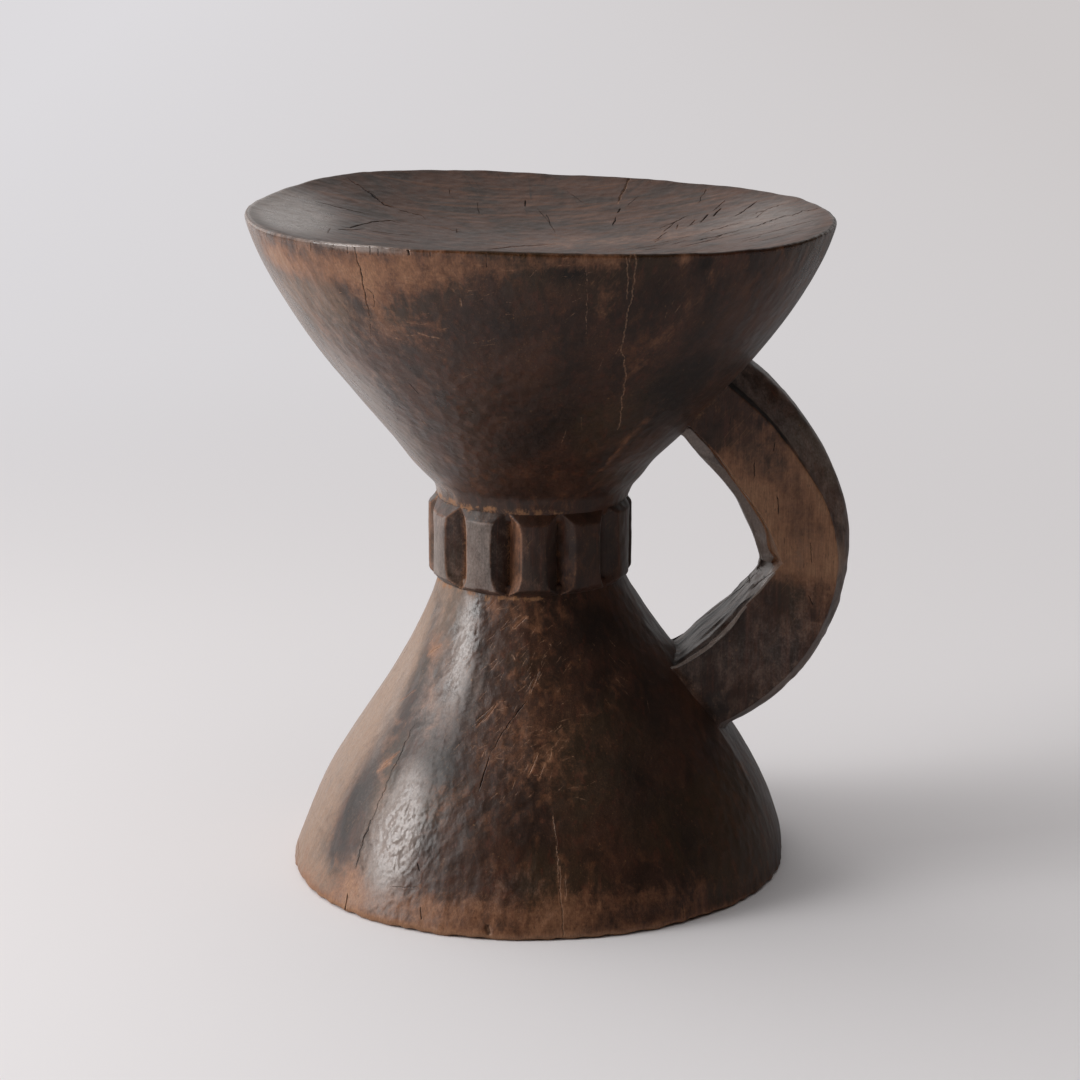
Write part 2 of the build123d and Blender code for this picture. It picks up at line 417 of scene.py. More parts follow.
def makeLogWood():
    material = bpy.data.materials.new("smokedOiledHardwood")
    material.use_nodes = True
    tree = material.node_tree
    tree.nodes.clear()
    place = addNode(tree, "ShaderNodeTexCoord")
    inMm = {"operation": "SCALE", "Scale": 1000}
    spot = addNode(tree, "ShaderNodeVectorMath", inMm, {0: place.outputs["Object"]})
    worn = {}
    for name in wearNames:
        worn[name] = addNode(tree, "ShaderNodeAttribute", {"attribute_name": name}).outputs["Fac"]
    offSeat = addNode(tree, "ShaderNodeMath", {"operation": "SUBTRACT", 0: 1.0}, {1: worn["seat"]})

    noise = {}
    for name, (across, along, slant, detail, twist) in wood["patterns"].items():
        fit = addNode(
            tree, "ShaderNodeMapping",
            {
                "vector_type": "TEXTURE", "Scale": (across, across, along),
                "Rotation": (0, math.radians(slant), 0),
            },
            {"Vector": spot},
        )
        noise[name] = addNode(
            tree, "ShaderNodeTexNoise",
            {"Scale": 1.0, "Detail": detail, "Roughness": 0.6, "Distortion": twist}, {"Vector": fit},
        ).outputs["Fac"]
    # the seat's end grain runs out from the heart of the log
    flat = addNode(tree, "ShaderNodeVectorMath", {"operation": "MULTIPLY", 1: (1, 1, 0)}, {0: spot})
    outward = addNode(tree, "ShaderNodeVectorMath", {"operation": "NORMALIZE"}, {0: flat})
    radius = addNode(tree, "ShaderNodeVectorMath", {"operation": "LENGTH"}, {0: flat}).outputs["Value"]
    for name, (count, length) in wood["rays"].items():
        spun = addNode(tree, "ShaderNodeVectorMath", {"operation": "SCALE", "Scale": count}, {0: outward})
        reach = addNode(tree, "ShaderNodeMath", {"operation": "DIVIDE", 1: length}, {0: radius})
        lifted = addNode(tree, "ShaderNodeCombineXYZ", {}, {2: reach})
        ray = addNode(tree, "ShaderNodeVectorMath", plus, {0: spun, 1: lifted})
        noise[name] = addNode(
            tree, "ShaderNodeTexNoise",
            {"Scale": 1.0, "Detail": 3, "Roughness": 0.6, "Distortion": 0.1}, {"Vector": ray},
        ).outputs["Fac"]
    across, along = wood["sweep"]
    band = addNode(
        tree, "ShaderNodeMapping",
        {"vector_type": "TEXTURE", "Scale": (across, along, across), "Rotation": (0, 0, math.radians(9))},
        {"Vector": spot},
    )
    noise["sweep"] = addNode(
        tree, "ShaderNodeTexNoise",
        {"Scale": 1.0, "Detail": 4, "Roughness": 0.6, "Distortion": 0.5}, {"Vector": band},
    ).outputs["Fac"]
    across, along = wood["hammered"]
    cells = addNode(
        tree, "ShaderNodeMapping",
        {"vector_type": "TEXTURE", "Scale": (across, across, along)}, {"Vector": spot},
    )
    noise["hammered"] = addNode(
        tree, "ShaderNodeTexVoronoi",
        {"feature": "SMOOTH_F1", "Scale": 1.0, "Smoothness": 0.35}, {"Vector": cells},
    ).outputs["Distance"]

    dimple = addNode(tree, "ShaderNodeMath", times, {0: noise["dent"], 1: worn["dimpled"]})

    # weighted sums of the patterns, the wear and the painted light and shade, for the colours, the gloss and
    # the relief to follow
    recipes = {
        "torn": (
            (worn["bare"], 1.15), (noise["smoke"], 1.3), (noise["streak"], 0.6), (noise["level"], 0.3),
            (noise["speck"], 0.5), (noise["pore"], 0.3),
        ),
        "smokedAndShaded": ((worn["smokeAndShade"], 0.95), (noise["smoke"], 1.3), (noise["drift"], 0.5), (worn["paleAndLit"], -0.3)),
        "waxedAndSheened": ((worn["waxAndSheen"], 1.0), (noise["smoke"], 0.7), (noise["grit"], 0.3)),
        "pale": (
            (worn["paleAndLit"], 1.0), (noise["mottle"], 0.4), (noise["streak"], 0.4), (noise["smoke"], 0.4),
        ),
        "dirt": ((worn["dust"], 1.0), (noise["grit"], 1.0), (noise["smoke"], 0.6)),
        "gilt": ((worn["vein"], 1.0), (noise["grit"], 1.6)),
        "scoredLeft": ((noise["scoreLeft"], 1.0), (noise["mottle"], 0.3), (worn["bare"], 0.12)),
        "scoredRight": ((noise["scoreRight"], 1.0), (noise["smoke"], 0.25)),
        "flecked": ((noise["speck"], 1.0), (noise["smoke"], 0.3)),
        "gloss": (
            (worn["seat"], 0.17), (worn["bare"], 0.10), (worn["dust"], 0.3), (worn["crack"], 0.3),
            (worn["shine"], -0.23),
            (worn["smokeAndShade"], 0.12),
            (noise["smoke"], 0.3), (noise["grit"], 0.12), (noise["mottle"], 0.14),
        ),
        "relief": (
            (noise["fibre"], 0.06), (noise["grit"], 0.07), (noise["streak"], 0.10),
            (noise["hammered"], 0.45),
            (noise["dent"], 0.28), (dimple, 0.8), (noise["level"], 0.03), (noise["hair"], 0.05),
        ),
    }
    share = {}
    for name, parts in recipes.items():
        total = None
        for source, weight in parts:
            part = addNode(tree, "ShaderNodeMath", {"operation": "MULTIPLY", 1: weight}, {0: source})
            total = part if total is None else addNode(tree, "ShaderNodeMath", plus, {0: total, 1: part})
        share[name] = total

    # colours laid over each other: what each follows, from where to where, how much of it, and where it
    # may lie
    layers = (
        ("midBrown", noise["mottle"], 0.36, 0.66, 0.9, None),
        ("oliveBrown", noise["drift"], 0.48, 0.62, 0.7, None),
        ("redBrown", noise["streak"], 0.52, 0.68, 0.55, None),
        ("warmBrown", noise["smoke"], 0.50, 0.74, 0.6, None),
        # pale tan from real wear and from painted light on the lit side
        ("tanAndLit", share["pale"], 0.85, 1.65, 0.9, None),
        # black from smoke and from painted shade
        ("blackSmokeAndShade", share["smokedAndShaded"], 1.0, 1.7, 0.85, None),
        ("deepBrown", noise["hair"], 0.58, 0.72, 0.5, None),
        ("scratchGold", share["scoredLeft"], 0.80, 0.94, 0.3, None),
        ("scratchGold", share["scoredRight"], 0.82, 0.94, 0.2, None),
        ("seatBrown", worn["seat"], 0.3, 0.7, 1.0, None),
        ("seatGrey", noise["mottle"], 0.42, 0.62, 0.9, worn["seat"]),
        ("seatWarm", noise["sweep"], 0.50, 0.72, 0.6, worn["seat"]),
        ("blackSmokeAndShade", noise["broadRays"], 0.58, 0.74, 0.45, worn["seat"]),
        ("blackSmokeAndShade", noise["fineRays"], 0.62, 0.72, 0.5, worn["seat"]),
        ("bareWood", share["torn"], 1.75, 2.65, 0.85, None),
        ("bareLight", share["torn"], 2.2, 3.0, 0.7, noise["fibre"]),
        ("blackSmokeAndShade", noise["pore"], 0.62, 0.74, 0.5, offSeat),
        # grey film of wax and dust, which is also painted sheen, highlights and glint
        ("greyWaxAndSheen", share["waxedAndSheened"], 0.65, 1.35, 0.8, None),
        ("scratchGold", share["flecked"], 0.90, 0.97, 0.5, offSeat),
        ("ochreDust", share["dirt"], 0.95, 1.45, 0.9, None),
        ("veinGold", share["gilt"], 1.1, 1.9, 0.9, None),
    )
    tone = None
    for colour, source, low, high, strength, where in layers:
        amount = addNode(
            tree, "ShaderNodeMapRange",
            {**smoothStep, "From Min": low, "From Max": high, "To Max": strength}, {"Value": source},
        )
        if where is not None:
            amount = addNode(tree, "ShaderNodeMath", times, {0: amount, 1: where})
        settings = {"data_type": "RGBA", 7: hexToLinear(wood[colour])}
        if tone is None:
            settings[6] = hexToLinear(wood["deepBrown"])
            tone = addNode(tree, "ShaderNodeMix", settings, {0: amount}).outputs[2]
        else:
            tone = addNode(tree, "ShaderNodeMix", settings, {0: amount, 6: tone}).outputs[2]
    # the vessels and the finest grit shade every colour a little
    shade = addNode(
        tree, "ShaderNodeMapRange",
        {"From Min": 0.3, "From Max": 0.7, "To Min": 0.85, "To Max": 1.14}, {"Value": noise["fibre"]},
    )
    grain = addNode(
        tree, "ShaderNodeMapRange",
        {"From Min": 0.3, "From Max": 0.7, "To Min": 0.88, "To Max": 1.12}, {"Value": noise["grit"]},
    )
    shade = addNode(tree, "ShaderNodeMath", times, {0: shade, 1: grain})
    tone = addNode(tree, "ShaderNodeVectorMath", {"operation": "SCALE"}, {0: tone, "Scale": shade})
    dark = addNode(
        tree, "ShaderNodeMapRange",
        {**smoothStep, "From Min": 0.05, "From Max": 0.7, "To Max": 0.95}, {"Value": worn["crack"]},
    )
    tone = addNode(
        tree, "ShaderNodeMix", {"data_type": "RGBA", 7: hexToLinear(wood["checkDark"])}, {0: dark, 6: tone}
    )
    # the patterns in the gloss average half their weights, so that much comes off first
    gloss = addNode(
        tree, "ShaderNodeMath", {**plus, 1: wood["gloss"] - 0.28, "use_clamp": True}, {0: share["gloss"]}
    )
    inMetres = {"Strength": 1.0, "Distance": 1.0 * mm}
    bump = addNode(tree, "ShaderNodeBump", inMetres, {"Height": share["relief"]})
    shader = addNode(
        tree, "ShaderNodeBsdfPrincipled",
        {"IOR": wood["ior"], "Sheen Weight": wood["dusty"], "Sheen Roughness": 0.45},
        {"Base Color": tone.outputs[2], "Roughness": gloss, "Normal": bump},
    )
    addNode(tree, "ShaderNodeOutputMaterial", {}, {"Surface": shader})
    return material


logWood = makeLogWood()
print("wood ready")


bowl = {
    "grooveRadius": 57.3,
    "grooveHeight": 231.2,
    "waistShift": -5.0,  # the waist stands a little to the left of the foot
    "rimShift": -2.1,
    "rimRadius": 175.4,
    "rimHeight": 405.2,
    "rimSpread": 2.0,  # the wall's widest place is this far outside the rim's edge
    "dishFloor": 379.0,
    "rimRound": 4.0,
    "coreRadius": 40.0,  # both log parts run on into the waist's core, where nothing shows
    "coreHeight": 226.0,
    "profile": [  # shares of the height and of the way out, from the groove to the rim
        (-0.04, -0.02), (0.00, 0.000), (0.05, 0.008), (0.10, 0.064), (0.15, 0.137), (0.20, 0.215),
        (0.35, 0.410), (0.50, 0.594), (0.65, 0.755), (0.80, 0.886), (0.92, 0.967), (1.00, 1.000),
        (1.04, 1.004),
    ],
    "columns": 400,
    "wallRows": 88,
    "edgeRows": 7,
    "dishRows": 60,
    "seed": 11,
    "lumps": 0.55,
    "lumpSize": 70.0,
    "scoopSize": 15.0,
    "scoopStretch": 1.7,
    "scoopDepth": 0.28,
    "fine": 0.05,
    "arrisChips": 0.12,
    "fineReaches": (2.4, 1.5, 0.9),
}

# what many marks share: running in from an edge, and straying less than the 0.9 mm of a plain check
fromEdge = {"bluntStart": 1, "wander": 0.3}
steady = {"wander": 0.3}
calm = {"wander": 0.4}
chipped = {"kind": "chip", "wander": 0.3}
scratched = {"kind": "scratch", "wander": 0.3}

# checks and veins in the bowl: the photo's pixels on the way (or places on the wall), width and depth in mm
bowlMarks = {
    "longSeatCheck": ([(344, 175), (355, 183), (371, 193), (386, 205), (399, 208)], 0.9, 0.9),
    "longSeatCheckGap": ([(362, 188), (371, 193), (386, 205), (394, 207)], 1.9, 1.6, calm),
    "longSeatCheckTail": ([(397, 208), (413, 213), (423, 216), (426, 221)], 0.9, 0.8),
    "forkedCheck": (
        [(338, 226), (350, 228), (363, 224), (375, 221), (390, 220), (403, 223)],
        0.9, 0.9, {"wander": 0.5},
    ),
    "forkedCheckHook": ([(327, 234), (331, 228)], 0.8, 0.8, steady),
    "slantCheckA": ([(722, 208), (713, 217)], 1.1, 1.1, calm),
    "slantCheckB": ([(709, 214), (700, 223)], 1.2, 1.2, calm),
    "slantCheckC": ([(696, 220), (689, 225.5)], 0.9, 0.9, calm),
    "slantCheckD": ([(678.5, 224), (676, 230)], 0.8, 0.8, steady),
    "rightCheckA": ([(759, 201), (746, 210), (733, 218)], 1.0, 1.0),
    "rightCheckB": ([(742, 230), (718, 236), (694, 241)], 1.2, 1.1, calm),
    "rightCheckC": ([(762, 236), (750, 240), (739, 242)], 1.1, 1.1, steady),
    "rightCheckD": ([(799, 213), (772, 221), (746, 230)], 0.9, 0.9),
    "rightCheckE": ([(822, 207), (806, 211), (790, 217)], 0.9, 0.9),
    "rightCheckF": ([(745, 221), (722, 228), (702, 233)], 0.8, 0.8),
    "rightCheckG": ([(784, 204), (765, 210), (751, 216)], 0.7, 0.7),
    "frontSeatCheck": ([(484, 249), (499, 248), (521, 246), (557, 244)], 1.2, 1.1, steady),
    "frontSeatCheckB": ([(641, 250.5), (650, 249), (658, 247.5)], 1.1, 1.1, {"wander": 0.2}),
    "heartCheck": ([(536, 208), (547, 220), (554, 231), (557, 240)], 0.6, 0.5),
    "heartDash": ([(525.5, 200), (525.5, 208)], 1.1, 0.9, {"wander": 0.2}),
    "heartDashB": ([(478, 201), (479, 215)], 0.6, 0.6),
    "heartDashC": ([(457, 228), (457, 233)], 0.9, 0.8, {"wander": 0.2}),
    "farDash": ([(450, 189), (450, 194)], 0.8, 0.7, {"wander": 0.2}),
    "rimVein": (
        [(631, 177), (626, 186), (621, 195), (617, 204)],
        1.3, 1.1, {"kind": "vein", "bluntStart": 1},
    ),
    "rimVeinEnd": ([(620, 208), (617, 213)], 1.0, 0.9),
    "wallVeinRight": (
        [(635, 254), (634.5, 274), (631, 299), (621, 345), (626, 370), (618, 430)],
        0.5, 0.5, {"kind": "vein", "bluntStart": 1, "wander": 1.2},
    ),
    "wallVeinLeft": ([(626, 258), (628, 278), (627, 299)], 0.4, 0.4, {"kind": "vein"}),
    "wallVeinStart": ([(631, 252), (630, 262)], 0.5, 0.5, {"kind": "vein", "bluntStart": 1}),
    "wallHairLine": ([(586, 254), (587, 290), (586, 335)], 0.4, 0.2, {"kind": "scratch"}),
    "wallCrack": (
        [(354, 248), (357, 259), (360, 269), (363, 286), (366, 299), (371, 325)],
        0.6, 0.8, {"bluntStart": 1},
    ),
    "wallCrackFork": ([(364, 286), (372, 294), (375, 303), (373, 312)], 0.4, 0.5),
    "wallCrackTail": ([(370, 322), (372, 338)], 0.4, 0.4),
    "rimCheckA": ([(297, 243), (298, 251)], 0.4, 0.5, fromEdge),
    "rimCheckB": ([(311, 243), (311, 252)], 0.5, 0.6, fromEdge),
    "rimCheckC": ([(333, 245), (333, 252)], 0.4, 0.5, fromEdge),
    "rimCheckD": ([(347, 246), (348, 255)], 0.5, 0.6, fromEdge),
    "rimCheckE": ([(370, 246), (370, 257)], 0.6, 0.7, fromEdge),
    "rimCheckF": ([(378, 249), (378, 257)], 0.5, 0.6, fromEdge),
    "rimCheckG": ([(408, 250), (409, 256)], 1.0, 0.9, fromEdge),
    "rimCheckH": ([(262, 236), (263, 246)], 0.4, 0.5, fromEdge),
    "rimCheckI": ([(486.6, 254), (487, 270)], 0.4, 0.5, fromEdge),
    "rimCheckJ": ([(430, 252), (430, 258)], 0.4, 0.5, fromEdge),
    "nickA": ([(460, 299), (461, 307)], 0.8, 0.4, {"kind": "vein", "wander": 0.2}),
    "nickB": ([(452, 289), (454, 292)], 0.6, 0.3, {"kind": "vein", "wander": 0.2}),
    "nickC": ([(418, 333), (428, 337), (440, 338)], 0.4, 0.2, {"kind": "vein", "wander": 0.4}),
    "nickD": ([(420, 420), (425, 424)], 0.6, 0.3, {"kind": "vein", "wander": 0.2}),
    "nickE": ([(406, 322), (420, 325), (431, 324)], 0.5, 0.2, {"kind": "scratch", "wander": 0.4}),
    "backWallCheckA": ([(152, 404), (154, 372), (151, 336)], 1.4, 1.6, {"bluntStart": 1, "on": "wall"}),
    "backWallCheckB": ([(214, 403), (212, 384), (213, 362)], 1.0, 1.2, {"bluntStart": 1, "on": "wall"}),
    "flankCheckA": ([(318, 362), (329, 383), (341, 398)], 0.7, 0.7, calm),
    "flankCheckB": ([(372, 414), (385, 430), (399, 447)], 0.7, 0.6, calm),
    "flankCheckC": ([(408, 382), (420, 396)], 0.5, 0.4, calm),
    "sideWallCheck": ([(108, 401), (110, 380)], 1.0, 1.1, {"bluntStart": 1, "on": "wall"}),
    "leftWallCheck": ([(258, 404), (256, 372), (258, 350)], 1.1, 1.2, {"bluntStart": 1, "on": "wall"}),
}

bowlMarks.update(scatterScratches(71, 44, 290, 290, 520, 430, 12, 11))
bowlMarks.update(scatterScratches(72, 26, 280, 258, 620, 300, 4, 14))
bowlMarks.update(scatterScratches(73, 8, 560, 300, 680, 460, 62, 16))


def seatChecks(seed, count):
    # fine checks that run outwards in the seat, most of them towards the handle
    rng = np.random.default_rng(seed)
    marks = {}
    for number in range(count):
        turn = math.radians(rng.normal(-8, 34) if number < count * 0.6 else rng.uniform(0, 360))
        start = rng.uniform(55, 140)
        end = min(start + rng.uniform(10, 34), 168)
        lean = rng.normal(0.10, 0.05)
        ends = [
            (start * math.cos(turn), start * math.sin(turn)),
            (end * math.cos(turn + lean), end * math.sin(turn + lean)),
        ]
        width, depth = rng.uniform(0.45, 0.9), rng.uniform(0.4, 0.8)
        marks[f"seatCheck{number}"] = (ends, width, depth, {"on": "top", "wander": 0.7})
    return marks


bowlMarks.update(seatChecks(74, 46))

# worn, sooty and painted-light places: the kind, the pixel in their middle, half sizes, strength, and how
# they lean. The grey film and pale patches on the left flank, the right flank and the rim's glint are
# painted sheen and highlight, and the big soot patches on the right and lower wall are painted shade beside
# the real smoke marks.
bowlPatches = [
    ("bare", (280, 258), (34, 10), 1.15), ("bare", (345, 272), (30, 15), 0.7),
    ("bare", (410, 274), (34, 15), 0.75), ("bare", (480, 268), (28, 9), 0.45),
    ("bare", (575, 261), (34, 6), 0.55), ("bare", (685, 259), (5, 4), 0.8),
    ("bare", (374, 300), (7, 16), 0.5), ("bare", (606, 290), (12, 26), 0.4),
    ("bare", (670, 330), (7, 42), 0.5, 0.55), ("bare", (628, 440), (6, 34), 0.46, 0.3),
    ("smokeAndShade", (305, 262), (5, 4), 0.5), ("smokeAndShade", (395, 262), (7, 5), 0.5), ("smokeAndShade", (438, 268), (8, 7), 0.5),
    ("smokeAndShade", (325, 283), (9, 6), 0.5), ("bare", (502, 420), (10, 9), 0.3),
    ("bare", (350, 345), (30, 30), 0.4), ("bare", (415, 332), (34, 16), 0.45),
    ("waxAndSheen", (385, 345), (34, 26), 0.12), ("shine", (812, 262), (30, 40), 0.6),
    ("paleAndLit", (320, 290), (50, 26), 0.3), ("paleAndLit", (790, 262), (20, 20), 0.4),
    ("smokeAndShade", (487, 330), (32, 24), 0.55), ("smokeAndShade", (568, 272), (11, 7), 0.8),
    ("smokeAndShade", (706, 263), (6, 4), 0.8), ("smokeAndShade", (590, 350), (16, 40), 0.4),
    ("smokeAndShade", (660, 290), (14, 18), 0.5), ("smokeAndShade", (680, 390), (30, 32), 0.9),
    ("smokeAndShade", (705, 305), (26, 26), 0.4), ("smokeAndShade", (520, 440), (34, 24), 0.4),
    ("waxAndSheen", (370, 395), (26, 44), 0.4), ("bare", (322, 330), (14, 22), 0.3),
    ("smokeAndShade", (400, 372), (16, 14), 0.4), ("smokeAndShade", (545, 410), (26, 30), 0.4),
    ("smokeAndShade", (350, 262), (8, 5), 0.5), ("shine", (480, 400), (60, 50), 0.3),
    ("shine", (355, 250), (36, 4), 1.0), ("waxAndSheen", (355, 247), (34, 2.5), 0.9),
]
# on the seat the grey film and pale patches at the left, right and front are painted reflection, and the
# broad soot over the back is painted shade
seatPatches = [
    ("shine", (286, 214), (34, 90), 1.9), ("waxAndSheen", (288, 216), (30, 70), 0.95),
    ("waxAndSheen", (770, 216), (46, 70), 0.4), ("bare", (822, 207), (26, 60), 0.75),
    ("bare", (600, 241), (90, 26), 0.5), ("waxAndSheen", (600, 241), (90, 26), 0.3),
    ("shine", (780, 220), (50, 90), 1.1), ("paleAndLit", (775, 215), (34, 60), 0.25),
    ("shine", (540, 243), (120, 40), 0.6), ("smokeAndShade", (520, 184), (150, 40), 0.6),
    ("smokeAndShade", (375, 197), (20, 9), 0.4),
]


def rimEdge(turn):
    # the carved rim is a little oval and three-cornered, and it rises and dips
    reach = bowl["rimRadius"] + 3.1 * np.cos(2 * (turn - math.radians(64)))
    reach = reach + 4.5 * np.cos(3 * (turn + math.radians(4.6)))
    reach = reach + 3.0 * bell(turn - math.pi, 0.26)
    height = bowl["rimHeight"] + 4.4 * np.cos(turn - math.radians(201)) - 0.95 * np.cos(2 * turn)
    height = height + 1.85 * np.cos(3 * (turn - math.radians(17)))
    back = turn - math.radians(88)
    height = height - 1.4 * bell(back, 0.17) + 0.8 * bell(back - 0.8, 0.25)
    circle = ringAt(turn, 0, 180, 0)
    height = height + 0.45 * softNoise(circle, 34, 3) + 0.2 * softNoise(circle, 12, 4)
    return reach, height


def logWear(points):
    # crumbs of ochre dirt lie in the grooves, thickest on the side that faces left and front
    turn = np.arctan2(points[:, 1], points[:, 0])
    side = 0.12 + 0.88 * rampTo(np.cos(turn - math.radians(195)), -0.3, 0.45)
    height = points[:, 2] + 1.2 * softNoise(points, 9, 54)
    upper, lower = bell(height - 233.2, 1.7), bell(height - 179.0, 1.7)
    patchy = 0.5 + 0.8 * softNoise(points, (6, 6, 2.5), 55) + 0.7 * softNoise(points, 2.2, 58)
    return np.clip(np.maximum(upper, lower) * side * np.clip(patchy, 0, 1.1), 0, 1)


def litPaleSide(points):
    # the left and back of the log, which face the softbox and the pale walls, are painted paler than the
    # right: partly real rubbing and bleaching, partly painted light
    turn = np.arctan2(points[:, 1], points[:, 0])
    share = (0.5 + 0.5 * np.cos(turn - math.radians(180))) ** 4
    return np.clip(share * (0.9 + 0.3 * softNoise(points, (30, 30, 60), 57)), 0, 1)


def makeBowl():
    turn = np.arange(bowl["columns"]) / bowl["columns"] * math.tau
    reach, top = rimEdge(turn)
    reach = reach + bowl["rimSpread"]
    top = top + 0.7

    def wallRing(share):
        out = throughPoints(bowl["profile"], np.array([share]))[0]
        radius = bowl["grooveRadius"] + (reach - bowl["grooveRadius"]) * out
        # at the left and the right the wall starts out more steeply from the groove
        radius = radius + 4.8 * bell(share - 0.11, 0.08) * np.clip(-np.cos(turn), 0, 1)
        radius = radius + 4.6 * bell(share - 0.075, 0.062) * np.clip(np.cos(turn), 0, 1) ** 2
        shift = bowl["waistShift"] * (1 - share) ** 2 + bowl["rimShift"] * share
        return ringAt(turn, shift, radius, bowl["grooveHeight"] + (top - bowl["grooveHeight"]) * share)

    def dishRing(share):
        height = bowl["dishFloor"] + (top - bowl["dishFloor"]) * share**2
        return ringAt(turn, bowl["rimShift"], reach * share, height)

    corner = wallRing(1.0)
    wallEnd = 1 - bowl["rimRound"] / (bowl["rimHeight"] - bowl["grooveHeight"])
    dishStart = 1 - bowl["rimRound"] / bowl["rimRadius"]
    below, inside = wallRing(wallEnd), dishRing(dishStart)
    rings = [ringAt(turn, bowl["waistShift"], bowl["coreRadius"], bowl["coreHeight"])]
    rings += [wallRing(share) for share in np.linspace(-0.03, wallEnd, bowl["wallRows"])]
    edgeFrom = len(rings)
    for t in np.linspace(0, 1, bowl["edgeRows"] + 2)[1:-1]:
        rings.append((1 - t) ** 2 * below + 2 * t * (1 - t) * corner + t**2 * inside)
    edgeTo = len(rings)
    rings += [dishRing(share) for share in np.linspace(dishStart, 0.012, bowl["dishRows"])]
    rows = len(rings)
    points = np.concatenate(rings)
    row = np.repeat(np.arange(rows), bowl["columns"])
    middle = (edgeFrom + edgeTo) / 2
    seat = rampTo(row, middle - 2, edgeTo + 1)
    edgeSpan = (edgeTo - edgeFrom) / 2
    arris = bell(row - middle, edgeSpan + 1.2)
    angle = np.arctan2(points[:, 1], points[:, 0])
    underRim = np.where(row < middle, bell(row - middle, 5.0), 0)
    front = 0.5 + 0.5 * np.cos(angle + math.radians(125))
    bare = 0.5 * underRim * (0.2 + 0.8 * front) * (1 - 0.8 * arris)
    # the band just inside the rim is darkened as painted shade, and the lit left flank is paled with tan and
    # grey film as painted light beside its real wear
    values = {
        "seat": seat, "arris": arris, "bare": bare, "dust": logWear(points),
        "smokeAndShade": 0.9 * bell(row - edgeTo, 3.0),
        "shine": 0.9 * bell(row - edgeFrom - 1, 2.2) + 0.7 * litPaleSide(points) * (1 - seat),
        "paleAndLit": 0.6 * litPaleSide(points) * (1 - seat), "waxAndSheen": 0.35 * litPaleSide(points) * (1 - seat),
    }
    return makeMesh("bowlBlank", points, tubeFaces(rows, bowl["columns"]), values)


carvePiece("seatBowl", makeBowl(), bowl, bowlMarks, bowlPatches, "seat_bowl", seatPatches)


base = {
    "topHeight": 181.3,
    "coreRadius": 40.0,
    "coreHeight": 187.0,
    "grooveRadius": 57.3,
    "swellRadius": 152.5,
    "footRadius": 150.6,
    "waistShift": -5.0,
    "oval": 2.0,
    "ovalTurn": 63.8,
    "footRound": 2.0,
    # soft upright ridges, as angles from the front
    "ridges": [-170, -142, -113, -84, -56, -29, -3, 24, 48, 72, 100, 128, 157],
    "flatness": 0.35,
    "profile": [  # share of the height, of the way out, and of the waist's shift, from the foot up
        (0.030, 1.000, 0.00), (0.085, 0.978, -0.25), (0.155, 0.935, -0.35), (0.276, 0.838, -0.40),
        (0.442, 0.654, -0.40), (0.608, 0.437, -0.20), (0.773, 0.229, 0.20), (0.912, 0.077, 0.75),
        (1.000, 0.000, 1.00), (1.040, -0.020, 1.00),
    ],
    "columns": 440,
    "wallRows": 104,
    "footRows": 6,
    "seed": 23,
    "lumps": 0.6,
    "lumpSize": 62.0,
    "scoopSize": 14.0,
    "scoopStretch": 1.6,
    "scoopDepth": 0.34,
    "fine": 0.06,
    "arrisChips": 1.0,
    "fineReaches": (2.8, 1.9, 1.2),
    "floorAt": 0.0,
    "ridgeTurn": 72.0,  # an arris runs down from the handle's root, at this angle from the front
}

